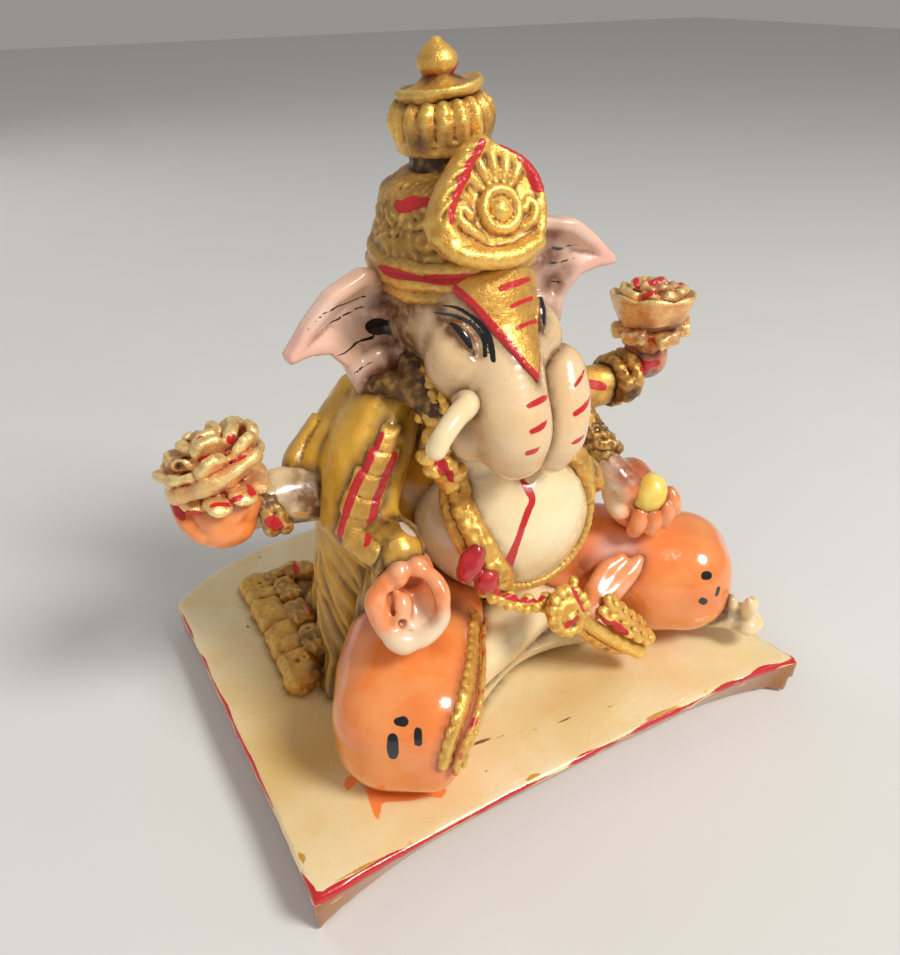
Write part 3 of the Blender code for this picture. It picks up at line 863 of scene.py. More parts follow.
# ---------------------------------------------------------------------------------------------------
# Legs
# ---------------------------------------------------------------------------------------------------


def plait(line, radius, pitch):
    """A cord of two strands that cross each other."""
    path = smooth_line(line, 4)
    lengths = lengths_along(path)
    tangent = path[-1, :3] - path[0, :3]
    tangent /= np.linalg.norm(tangent)
    side = np.cross(tangent, (0.4, -0.8, 0.45))
    side /= np.linalg.norm(side)
    strands = []
    for sign in (-1.0, 1.0):
        stations = []
        for at in np.arange(0.0, lengths[-1], pitch / 5.0):
            x, y, z = (np.interp(at, lengths, path[:, axis]) for axis in range(3))
            swing = side * radius * 0.8 * sign * math.sin(math.pi * at / pitch)
            stations.append((x + swing[0], y + swing[1], z + swing[2], radius * 0.62))
        strands.append(bar(stations, 1))
    return join(0.2, *strands)


def legs():
    """The knees in glossy robe, the shins crossed between them, the foot and the hems."""
    soft = noise(7.0, 11)
    right_knee = join(3.0, bar([(-6, 1, 19, 6), (-11, -5, 19, 9.6), (-16.6, -11.4, 18.8, 10.6),
                                (-19.4, -15.6, 18.2, 10.2)], 6),
                      cushion((-21.0, -18.6, 17.8), (10.5, 10.2, 9.8), (0, 0, -33.5), 7.8))
    cuff = Form(lambda points: (0.83 * points[:, 0] - 0.55 * points[:, 1] - 0.5 * points[:, 2] + 7.6)
                / 1.114, right_knee.low, right_knee.high)
    right_knee = relief(laid_on(right_knee, cuff, 0.0, 1.8), soft, 0.25)
    left_knee = join(3.0, bar([(7, 3, 19, 6), (14, -2, 18.8, 9), (22, -8, 17.8, 9.6),
                               (26.4, -11.4, 17.2, 9.4)], 6),
                     cushion((29.8, -14.4, 16.2), (9.6, 10.2, 9.2), (0, 0, 54.4), 7.8))
    left_knee = relief(left_knee, soft, 0.25)
    plan("right_knee", right_knee, STEP_PLAIN, "orange_paint", ORANGE_GLOSS,
         {"black": on_skin(right_knee, [(-26.0, -25.8, 25.4, 0.55), (-25.4, -26.2, 25.4, 0.7)],
                           [(-27.3, -26.5, 23.5, 0.7), (-28.0, -27.4, 22.0, 0.8),
                            (-28.5, -28.0, 20.9, 0.6)],
                           [(-24.2, -27.8, 24.3, 0.5), (-24.6, -28.4, 22.8, 0.55)]),
          # Painted shade where the belly, the hand and the shawl come close over the knee
          "stain_and_shade": soft_spots(((-20.0, -9.0, 29.0), 3.8, 0.8), ((-26.0, -10.0, 24.0), 3.0, 0.5),
                              ((-10.5, -13.0, 27.0), 2.8, 0.8), ((-17.0, -18.6, 28.6), 2.2, 0.4))},
         wash_and_shade=0.8)
    plan("left_knee", left_knee, STEP_PLAIN, "orange_paint", ORANGE_GLOSS,
         {"black": on_skin(left_knee, [(29.2, -23.3, 21.5, 0.7), (29.7, -23.3, 21.3, 0.7)],
                           [(28.4, -23.5, 17.7, 0.62), (28.8, -23.5, 17.3, 0.62)],
                           [(30.7, -24.2, 18.0, 0.45), (31.0, -24.2, 18.9, 0.45)]),
          "tint": soft_spots(((18.3, -13.5, 25.6), 2.6, 0.75), ((20.8, -14.6, 25.8), 2.4, 0.7),
                             ((16.8, -13.0, 25.0), 1.8, 0.5)),
          # Painted shade where the knee meets the belly, under the fist and by the hem
          "stain_and_shade": soft_spots(((13.6, -12.8, 23.0), 2.6, 1.0), ((22.6, -14.6, 26.4), 1.6, 0.35),
                              ((16.6, -16.0, 17.0), 2.2, 0.4))}, wash_and_shade=0.9)
    right_shin = bar([(-13, -14, 15.5, 5.0), (-4, -11, 16, 5.2), (6, -8.5, 15.5, 4.8),
                      (14, -9.6, 14.0, 4.0)], 5)
    left_shin = bar([(14, -12.5, 12, 4.0), (8, -9.8, 11.8, 4.2), (0, -9.4, 11.4, 4.0),
                     (-8, -12.5, 10.6, 3.6), (-13, -17, 9.6, 2.6)], 5)
    shadow = soft_spots(((-6.0, -14.0, 13.0), 2.6, 0.5), ((9.0, -15.0, 13.0), 3.0, 0.5),
                        ((2.0, -14.4, 12.6), 2.0, 0.3))
    plan("right_shin", relief(right_shin, soft, 0.2), STEP_PLAIN, "ivory_resin", FLESH, {"stain_and_shade": shadow})
    plan("left_shin", relief(left_shin, soft, 0.2), STEP_PLAIN, "ivory_resin", FLESH, {"stain_and_shade": shadow})
    feet()
    hems(right_knee)


def feet():
    """The right foot comes out beyond the left knee, toes up."""
    toes = [
        egg((37.0, -26.4, 12.6), (1.2, 1.3, 3.2), (8, -14, 0)),
        egg((38.8, -25.6, 11.4), (0.95, 1.1, 2.3), (8, 8, 0)),
        egg((40.0, -24.6, 10.6), (0.85, 1.0, 1.8), (6, 14, 0)),
        egg((35.2, -24.4, 13.4), (1.2, 1.3, 1.9), (0, -20, 0)),
    ]
    sole = bar([(31.0, -19.6, 10.4, 2.4), (34.4, -22.6, 10.2, 2.4), (37.6, -24.6, 9.4, 2.4)])
    foot = relief(join(0.9, sole, egg((37.6, -26.6, 9.2), (2.6, 2.0, 1.6)), *toes), noise(2.0, 14), 0.2)
    plan("right_foot", foot, STEP_RELIEF, "ivory_resin", FLESH,
         # Painted shade in the hollow between the foot, the knee and the slab
         {"stain_and_shade": soft_spots(((33.6, -24.2, 11.4), 1.8, 0.9), ((35.4, -25.8, 10.0), 1.3, 0.7),
                              ((38.4, -27.4, 9.4), 0.9, 0.4))})


def hems(right_knee):
    """Two plaited hems over the right knee, and three cords beside the left one."""
    foil = granules(1.1, 21)
    ladder = skin_path(right_knee, [(-6.2, -14.2, 24.9, 0.8), (-11.8, -21.2, 25.1, 0.9),
                                    (-16.8, -26.8, 24.8, 0.95), (-20.3, -29.2, 22.2, 0.95),
                                    (-22.0, -29.6, 18.4, 0.8)], lift=0.0)
    braid = skin_path(right_knee, [(-5.2, -14.6, 22.4, 0.7), (-9.4, -20.2, 22.2, 0.8),
                                   (-13.8, -25.9, 21.8, 0.85), (-17.8, -28.9, 19.6, 0.8),
                                   (-19.4, -29.4, 16.2, 0.6)], lift=0.0)
    between = skin_path(right_knee, [(-5.8, -14.6, 23.8, 0.3), (-10.8, -21.2, 23.8, 0.36),
                                     (-15.4, -26.8, 23.4, 0.42), (-19.2, -29.2, 21.0, 0.5),
                                     (-20.8, -29.5, 17.2, 0.5)], lift=0.85)
    red = bar(between, 1)
    plan("right_hem_plait", relief(join(0.1, plait(ladder, 0.85, 1.7),
                                        bar([(*spot[:3], 0.75) for spot in ladder], 1)), foil, 0.08),
         STEP_FINE, "gold_paint", GOLD_FOIL, {"red": red}, wash_and_shade=0.2)
    plan("right_hem_strip", relief(join(0.15, plait(braid, 0.7, 1.6), red), foil, 0.08), STEP_FINE,
         "gold_paint", GOLD_FOIL, {"red": red}, wash_and_shade=0.2)
    upper = [(12.6, -20.0, 22.6, 1.0), (15.6, -21.6, 18.6, 1.2), (18.4, -22.0, 15.2, 0.9)]
    middle = [(11.2, -20.6, 21.2, 1.1), (15.4, -22.6, 16.8, 1.3), (19.6, -22.8, 12.8, 0.9)]
    plan("left_hem_upper", relief(join(0.2, plait(upper, 1.0, 2.2), plait(middle, 1.1, 2.4)), foil, 0.12),
         STEP_FINE, "gold_paint", GOLD_FOIL,
         {"red": strokes([(9.8, -20.6, 21.2, 0.5), (12.2, -22.2, 19.0, 0.8), (14.0, -23.0, 17.2, 0.5)])},
         wash_and_shade=0.4)
    lower = [(7.8, -20.0, 20.8, 1.0), (12.6, -21.4, 15.6, 1.25), (17.4, -22.4, 10.9, 1.3)]
    cuff = [(8.4, -18.6, 18.0, 1.2), (13.0, -19.6, 13.0, 1.6), (16.6, -20.0, 10.2, 1.2)]
    plan("left_hem_lower", relief(join(0.6, bar(lower), bar(cuff)), foil, 0.10),
         STEP_RELIEF, "gold_paint", GOLD_FOIL, {"brown": bar(cuff)}, wash_and_shade=0.4)


# ---------------------------------------------------------------------------------------------------
# Belly, torso, shawl
# ---------------------------------------------------------------------------------------------------


def body():
    """Belly, torso and seat, with the shawl and the garlands laid on them."""
    soft, weave = noise(8.0, 31), noise(2.6, 33)
    belly = relief(join(2.0, egg((2.6, -6.5, 36.6), (13.4, 12.4, 13.0)),
                        egg((-0.5, -6.5, 50.0), (9.0, 6.5, 5.0))), soft, 0.12)
    plan("belly", belly, STEP_PLAIN, "ivory_resin", FLESH,
         {"red": on_skin(belly, [(0.9, -15.6, 47.0, 0.3), (1.3, -16.4, 45.2, 0.6), (1.4, -16.9, 43.7, 0.5),
                                 (0.2, -17.3, 42.3, 0.5), (-1.0, -17.8, 40.6, 0.48),
                                 (-1.9, -17.9, 38.8, 0.5), (-2.9, -17.7, 36.3, 0.68),
                                 (-3.5, -17.2, 33.6, 0.75)]),
          # Painted shade beside the garlands
          "stain_and_shade": soft_spots(((-8.6, -11.5, 42.5), 2.6, 0.6), ((-7.0, -12.0, 47.5), 3.0, 0.35),
                              ((8.0, -13.0, 46.0), 2.5, 0.4))}, wash_and_shade=0.6)
    torso = join(3.0, bar([(0, 5, 20, 12.5), (0, 4, 34, 12.5), (0, 2.5, 46, 12), (0, 1, 55, 9),
                           (0, 0, 60, 6.5)], 5),
                 egg((9, 2.5, 54), (6.0, 6, 5)))
    plan("torso", relief(torso, weave, 0.25), STEP_BROAD, "yellow_paint", YELLOW_CLOTH)
    seat = relief(join(3.0, egg((0, 8, 17), (19.0, 14.6, 10.2)), egg((0, 10, 12), (17, 12, 6.0))), soft,
                  0.2)
    plan("seat", seat, STEP_BROAD, "orange_paint", ORANGE_GLOSS)
    shawl(weave)
    garlands(belly)


def shawl(weave):
    """The shawl behind the right arm, down to its knotted border on the slab."""
    drape = join(2.5,
                 bar([(-9, 3, 57, 4), (-12.0, 4, 50, 6), (-14.4, 5, 42, 6.2), (-16.0, 5.2, 32, 6.2),
                      (-17.4, 5.6, 20, 6.6), (-18.4, 5.4, 12, 7.0), (-18.6, 5.4, 8.6, 7.6)], 5),
                 bar([(-9, 8, 55, 3.5), (-12, 9, 44, 5), (-14.4, 11.4, 32, 5.6), (-16.0, 13.6, 18, 5.8),
                      (-17.6, 16, 9.4, 5.6)], 5),
                 bar([(-14, -3, 33, 3.2), (-17.4, -5.0, 26, 3.8), (-20.6, -5.6, 18, 4.4),
                      (-22.6, -5.0, 10, 5.0)], 4),
                 egg((-21.4, 14, 9.6), (5.2, 13.5, 1.6)), egg((-23.4, -1, 9.4), (4.6, 5.5, 1.8)))

    def pleats(points):
        fall = 0.55 * points[:, 0] - 0.75 * points[:, 1] + 0.42 * points[:, 2]
        deep = np.clip(1.3 - points[:, 2] / 46.0, 0.2, 1.0)
        ridge = np.sin(1.15 * fall + 1.6 * np.sin(points[:, 2] / 6.0) + 1.2 * weave(points * 0.4))
        return deep * (0.55 * ridge + 0.25 * np.sin(2.7 * fall + 0.3 * points[:, 2]))

    # Painted shade: the drape darkens brown towards the bottom and where it comes forward beside the knee,
    # with some noise
    def drape_shade(points):
        low = fade(30.0 - points[:, 2], 24.0, 0.55)
        near_knee = fade(-points[:, 1] + 0.5, 5.0) * fade(34.0 - points[:, 2], 6.0)
        return np.clip(low + 0.7 * near_knee + 0.2 * weave(points * 0.6), 0.0, 0.95)

    plan("shawl_drape", relief(relief(drape, pleats, 0.85), weave, 0.2), STEP_PLAIN, "yellow_paint",
         YELLOW_CLOTH, {"tint": drape_shade})
    sides = noise(2.4, 41)
    foil = granules(1.3, 42)
    rows = (("outer", 4, (-30.0, 4.6, 10.0), (0.35, 7.5), (2.9, 3.9, 2.5)),
            ("inner", 3, (-26.0, 9.0, 10.0), (0.5, 7.4), (2.2, 3.5, 2.9)))
    for row, count, first, gap, half in rows:
        for step in range(count):
            centre = (first[0] + gap[0] * step, first[1] + gap[1] * step, first[2])
            shape = cushion(centre, half, (0, 0, -3), 1.5)
            if row == "inner" and step == count - 1:
                strip = bar([(-26.6, 28.0, 11.2, 1.6), (-23.6, 28.4, 11.4, 1.7), (-20.0, 27.0, 11.4, 1.6)])
                shape = join(0.6, shape, strip)
            shape = relief(relief(shape, sides, 0.45), foil, 0.35)
            plan(f"shawl_knob_{row}_{step + 1}", shape, STEP_FINE, "gold_paint",
                 GOLD_FOIL if row == "outer" else DARK_GOLD,
                 {"red": join(0.1, bar([(-24.8, 3, 12.6, 0.5), (-24.0, 12, 13.0, 0.5),
                                        (-23.4, 20, 13.0, 0.4)]),
                              bar([(-22.0, 25.6, 12.6, 0.6), (-21.4, 28.4, 12.6, 0.7)], 1)),
                  "stain_and_shade": soft_spots(((-27.8, 1.6, 12.4), 2.2, 1.0), ((-27.0, 8.6, 12.6), 1.2, 0.7))},
                 wash_and_shade=0.35)


# ---------------------------------------------------------------------------------------------------
# Head
# ---------------------------------------------------------------------------------------------------

FACE_MIDDLE = 0.2  # the face is this much off the axis


def head():
    """Skull, trunk, cheeks and eyes in one body, then the trunk's curl, the tusk and the forehead plate."""
    soft = noise(6.0, 51)
    skull = join(2.5, egg((-0.3, -2.0, 68), (9.4, 10.8, 11.5)), egg((-0.1, -8.6, 71.0), (6.6, 5.6, 6.4)))
    trunk = bar([(-0.2, -7.5, 70, 6.0), (-0.6, -11.4, 64.4, 6.0), (-1.3, -15.8, 59.0, 5.3),
                 (-1.7, -17.8, 56.2, 4.8), (-1.9, -18.0, 53.8, 4.1)], 6)
    cheeks = [egg((side * 6.2 - 0.2, -11.4, 64.2), (3.3, 3.8, 4.6), (0, side * 12, 0)) for side in (-1, 1)]
    mouth = join(1.0, egg((-5.6, -13.4, 54.8), (3.0, 3.2, 3.6)), egg((-5.0, -10.0, 58.0), (3.6, 4.0, 3.0)))
    sockets, eyes, hollows, lids, brows, pupils, shades = [], [], [], [], [], [], []
    for side in (-1, 1):
        def x(value, side=side):
            return side * (value - FACE_MIDDLE) - FACE_MIDDLE

        sockets.append(bar([(x(7.4), -11.4, 70.6, 0.5), (x(6.2), -13.2, 69.8, 1.0),
                            (x(5.2), -14.7, 68.2, 1.15), (x(4.8), -15.4, 66.6, 0.6)], 4))
        # Brown in each eye hollow: painted shade
        hollows.append([(x(7.0), -11.2, 70.3, 0.2), (x(6.7), -12.4, 69.9, 0.6), (x(6.2), -13.8, 68.9, 0.8),
                        (x(5.5), -14.7, 67.2, 0.4)])
        eyes.append(bar([(x(6.6), -12.3, 69.9, 0.4), (x(5.8), -13.1, 68.7, 1.0),
                         (x(5.2), -14.2, 67.2, 0.8)], 4))
        lids.append([(x(7.4), -9.6, 70.8, 0.10), (x(6.3), -11.8, 70.8, 0.24), (x(5.0), -13.7, 70.0, 0.30),
                     (x(4.2), -14.9, 68.5, 0.32), (x(4.1), -15.6, 66.4, 0.34)])
        brows.append([(x(6.8), -10.6, 71.9, 0.08), (x(5.8), -12.0, 71.8, 0.20), (x(4.9), -13.1, 71.2, 0.26),
                      (x(3.7), -14.4, 69.8, 0.32), (x(3.3), -15.5, 68.2, 0.40),
                      (x(3.6), -16.6, 66.0, 0.34)])
        pupils.append([(x(6.8), -12.2, 70.2, 0.2), (x(6.3), -13.3, 69.6, 0.42), (x(5.8), -14.2, 68.6, 0.5),
                       (x(5.5), -14.6, 67.6, 0.3)])
        pupils.append([(x(5.2), -14.6, 67.2, 0.10), (x(5.3), -14.8, 66.4, 0.16)])
        shades += [((x(7.2), -10.8, 70.4), 1.3, 1.2), ((x(6.4), -12.6, 69.8), 1.6, 1.5),
                   ((x(5.6), -14.2, 68.4), 1.6, 1.4), ((x(5.2), -14.8, 66.8), 1.2, 0.9),
                   ((x(9.4), -5.0, 66.0), 2.6, 1.2), ((x(9.2), -5.4, 70.0), 2.4, 1.1),
                   ((x(8.2), -8.0, 74.0), 2.0, 0.7), ((x(8.2), -8.6, 61.0), 2.6, 1.0),
                   ((x(8.4), -9.4, 65.4), 2.6, 0.5), ((x(6.4), -15.0, 64.0), 2.6, 0.3)]
    shades += [((-6.8, -14.4, 57.4), 2.4, 0.8), ((-5.6, -17.0, 54.0), 1.5, 0.6),
               ((-5.6, -15.4, 58.8), 1.8, 1.0), ((-5.4, -17.6, 57.0), 1.4, 0.5),
               ((-3.6, -19.6, 52.2), 1.8, 0.3), ((1.8, -18.4, 57.0), 2.0, 0.6),
               ((2.2, -18.0, 61.0), 2.0, 0.5), ((1.2, -18.6, 52.6), 1.8, 0.5)]
    face = carve(0.6, join(2.0, skull, trunk, *cheeks, mouth), *sockets)
    face = relief(join(0.25, face, *eyes), soft, 0.10)
    trunk_strokes = [
        [(-1.6, -20.8, 60.9, 0.32), (0.8, -20.4, 60.9, 0.42), (2.6, -19.3, 60.4, 0.16)],
        [(-2.1, -21.9, 58.1, 0.34), (-0.6, -21.8, 58.2, 0.42), (0.7, -21.5, 58.5, 0.16)],
        [(-2.9, -22.3, 55.6, 0.36), (-2.0, -22.4, 55.6, 0.38), (-1.2, -22.4, 55.8, 0.16)],
    ]
    plan("face", face, STEP_RELIEF, "ivory_resin", FACE,
         {"red": on_skin(face, *trunk_strokes), "brown": on_skin(face, *hollows),
          "black": on_skin(face, *lids, *brows, *pupils), "stain_and_shade": soft_spots(*shades)}, wash_and_shade=0.8,
         replaces=["head", "trunk"])
    curl = bar([(4.0, -17.6, 50.6, 2.6), (5.2, -17.4, 53.2, 3.7), (6.6, -16.2, 57, 3.9),
                (7.7, -14.6, 60.2, 3.3), (8.0, -14.0, 61.2, 2.6)], 5)
    plan("trunk_curl", relief(curl, soft, 0.10), STEP_RELIEF, "ivory_resin", FACE,
         {"red": on_skin(curl, [(6.7, -18.8, 60.0, 0.2), (8.0, -18.0, 60.4, 0.3), (9.2, -16.8, 60.8, 0.14)],
                         [(5.8, -20.3, 57.1, 0.36), (7.6, -19.6, 57.4, 0.42), (9.0, -18.4, 57.8, 0.2)],
                         [(4.8, -21.0, 53.5, 0.2), (5.8, -20.9, 53.6, 0.36), (6.9, -20.4, 53.8, 0.16)])})
    tusk = bar([(-6.2, -13.6, 60.6, 1.8), (-7.6, -16.6, 61.2, 1.55), (-10.2, -18.4, 61.2, 1.4),
                (-12.6, -19.4, 60.0, 1.35), (-13.8, -19.6, 58.6, 1.3)], 6)
    plan("right_tusk", tusk, STEP_RELIEF, "ivory_resin", FLESH, wash_and_shade=0.3)
    ears()
    forehead_plate(face)


def forehead_plate(face):
    """A sheet of gold laid on the forehead, with its painted edge and dashes."""
    place = ((0.2, -15.6, 67.2), (-21, 0, 0))
    edge = [(-6.3, 8.2), (-3.8, 8.6), (-0.5, 8.6), (2.9, 8.2), (6.2, 7.4), (5.2, 3.6), (3.8, 0.2),
            (2.2, -3.1), (0.7, -5.6), (-1.0, -2.7), (-2.4, 0.4), (-4.1, 4.2)]
    sheet = laid_on(face, placed(leaf(edge, 14.0, (0, 0, 0), (0, 0, 0), 0.25), *place), 0.45)
    dashes = [[(-0.9, 0, 6.4, 0.4), (1.4, 0, 6.5, 0.42), (3.8, 0, 6.5, 0.3)],
              [(0.0, 0, 4.0, 0.3), (1.8, 0, 4.2, 0.28), (3.6, 0, 4.2, 0.3)],
              [(0.0, 0, 1.4, 0.32), (1.8, 0, 1.5, 0.26), (3.6, 0, 1.4, 0.3)]]
    outline = [[(-6.0, 0, 8.4, 0.35), (-4.0, 0, 4.4, 0.55), (-2.3, 0, 0.6, 0.75), (-0.9, 0, -2.5, 0.6),
                (0.7, 0, -5.2, 0.5)],
               [(0.8, 0, -5.2, 0.4), (2.1, 0, -3.0, 0.24), (3.7, 0, 0.2, 0.16), (5.1, 0, 3.6, 0.1)]]
    plan("forehead_plate", relief(sheet, granules(0.65, 57), 0.12), STEP_FINE, "gold_paint", GOLD_FOIL,
         {"red": placed(strokes(*dashes, *outline, flat=(1, 0.05, 1)), *place)}, wash_and_shade=0.2)


def ears():
    """Both ears from one outline, dished and veined, pink at their tips."""
    half = [(1.5, 7), (-5, 9), (-10, 7.6), (-14, 4.4), (-16.6, 1.2), (-16.4, 0.2), (-13.4, 0.2),
            (-11, -0.4), (-8.6, -3), (-7.4, -7.4), (-4.4, -10.2), (1.5, -9)]
    veins = {
        "right_ear": [
            [(-21.8, -3.8, 70.3, 0.06), (-18.7, -3.6, 72.0, 0.15), (-15.4, -2.1, 71.9, 0.18),
             (-12.7, -1.4, 71.8, 0.14)],
            [(-21.5, -3.7, 68.9, 0.06), (-18.5, -2.2, 69.9, 0.12), (-16.6, -1.7, 70.0, 0.18),
             (-13.1, -2.0, 70.6, 0.16)],
            [(-18.1, -3.1, 65.8, 0.08), (-16.1, -2.4, 65.8, 0.14), (-14.0, -0.9, 65.9, 0.2),
             (-12.0, -0.7, 65.7, 0.24)],
            [(-16.1, -2.6, 62.5, 0.18), (-14.9, -2.7, 63.1, 0.12), (-13.1, -2.9, 63.6, 0.1)]],
        "left_ear": [
            [(15.7, -1.7, 71.6, 0.2), (17.0, -1.8, 71.2, 0.2), (18.6, -2.4, 71.4, 0.12),
             (20.0, -3.0, 71.6, 0.06)],
            [(15.6, -1.6, 69.4, 0.2), (17.1, -1.6, 69.2, 0.16), (19.1, -2.4, 69.6, 0.08)],
            [(15.6, -1.6, 66.8, 0.16), (16.8, -2.2, 66.6, 0.10)]],
    }
    soft = noise(3.5, 61)
    for name, side, centre in (("right_ear", 1, (-8.2, -0.5, 66.4)), ("left_ear", -1, (9.0, -0.5, 67.6))):
        outline = [(side * x, z) for x, z in half]
        shell = leaf(outline, 2.6, (0, 0, 0), (0, 0, 0), 0.7, dish=1.5, dish_inset=0.7)
        lobe = egg((-side * 3.8, -0.9, -5.6), (3.8, 1.5, 4.2))
        fold = bar([(side * 1.5, -1.2, 6.6, 1.3), (side * 0.2, -2.0, 1.5, 1.6),
                    (-side * 0.8, -1.6, -3.6, 1.4)], 5)
        hole = egg((-side * 2.9, -1.4, 0.5), (2.6, 1.9, 1.5), (0, side * 24, 0))
        flap = bar([(-side * 1.4, -1.4, 3.2, 0.7), (-side * 4.0, -1.0, 3.2, 0.6)], 1)
        place = (centre, (4, 0, 8 * side))
        shape = placed(relief(carve(0.7, join(1.2, shell, lobe, fold, flap), hole), soft, 0.2), *place)
        # The hole's inside is painted black: painted shade
        dark = placed(egg((-side * 2.9, -1.2, 0.5), (2.6, 2.6, 1.45), (0, side * 24, 0)), *place)

        def flush(points, side=side):
            tip = fade(-side * points[:, 0] - 9.0, 5.0)
            edge = 0.35 * fade(-side * points[:, 0] - 2.0, 8.0)
            return np.clip(tip * fade(6.0 - points[:, 2], 5.0) + edge, 0.0, 1.0)

        # Painted shade along the ear's root from top to lobe and round its hole; root adds it where the left
        # ear meets the head
        stain_and_shade = soft_spots(((-side * 3.6, -1.6, -6.4), 3.6, 1.3), ((-side * 1.6, -1.6, -3.0), 2.8, 1.2),
                           ((-side * 3.0, -1.2, 3.0), 2.4, 1.0), ((-side * 6.0, -1.0, 2.0), 3.2, 0.5),
                           ((-side * 1.0, -1.6, 6.0), 2.4, 0.9))
        root = soft_spots(((15.2, -1.8, 70.5), 2.2, 1.3), ((15.2, -2.0, 73.4), 1.8, 1.1),
                          ((15.4, -2.4, 67.0), 2.0, 1.3), ((17.4, -2.4, 68.2), 1.4, 0.6))
        black = on_skin(shape, *veins[name])
        if name == "right_ear":
            black = join(0.05, black, dark)
        plan(name, shape, STEP_RELIEF, "pink_paint", PINK_EAR,
             {"black": black, "tint": placed_value(flush, *place),
              "stain_and_shade": join_values(placed_value(stain_and_shade, *place), root)}, wash_and_shade=0.8)


# ---------------------------------------------------------------------------------------------------
# Crown
# ---------------------------------------------------------------------------------------------------


def crown():
    """The dome under its scrollwork and the rolled band, then the front plate and the finial."""
    foil = granules(1.0, 71)
    crumple = granules(0.7, 72)
    bend = noise(3.4, 75)

    def scrollwork(points):
        along = np.arctan2(points[:, 1] + 1.2, points[:, 0] + 0.6) * 10.0 + 1.2 * bend(points)
        height = points[:, 2] + 0.8 * bend(points + 5.0)
        around = np.sin(2.1 * along + 2.2 * np.sin(1.3 * height))
        upward = np.sin(2.3 * height + 1.8 * np.sin(1.5 * along))
        return 0.8 * (around * upward) + 0.5 * foil(points)

    dome = join(2.2, egg((-0.1, -1.4, 76.8), (9.3, 9.9, 8.6)), ring((0.0, -0.7, 81.6), (5.3, 5.4), 2.5),
                ring((-0.1, -1.4, 75.5), (6.9, 7.3), 2.8))
    collar = join(0.3, ring((0.1, -0.3, 84.2), (4.6, 4.6), 0.9), ring((-0.2, -0.5, 82.8), (7.0, 7.0), 0.7))
    dome_skin = relief(join(0.5, relief(dome, scrollwork, 0.24), collar), crumple, 0.10)
    # The dome's darker gold is painted shade
    plan("crown_dome", dome_skin, STEP_FINE, "gold_paint", DARK_GOLD,
         {"red": on_skin(dome_skin, [(-8.6, -3.0, 82.6, 0.5), (-7.4, -5.0, 82.8, 0.9),
                                     (-5.6, -6.4, 83.0, 0.6)])}, wash_and_shade=0.5)
    rolls = [ring((-0.4, -1.7, height), (radius, radius + 0.9), tube, (2, 0, 0))
             for height, radius, tube in ((72.6, 9.0, 1.05), (74.4, 9.5, 1.15), (76.1, 9.3, 0.95))]
    band = relief(relief(join(0.25, *rolls), noise(3.0, 73), 0.25), crumple, 0.12)
    red_band = ring((-0.4, -1.7, 75.3), (10.2, 11.2), 0.42, (2, 0, 0))
    missing = noise(5.0, 74)
    plan("crown_band", band, STEP_FINE, "gold_paint", GOLD_FOIL,
         {"red": relief(red_band, lambda points: np.minimum(missing(points) - 0.1, 0.3), 0.8)}, wash_and_shade=0.6)
    front_plate(crumple)
    finial(foil, crumple)


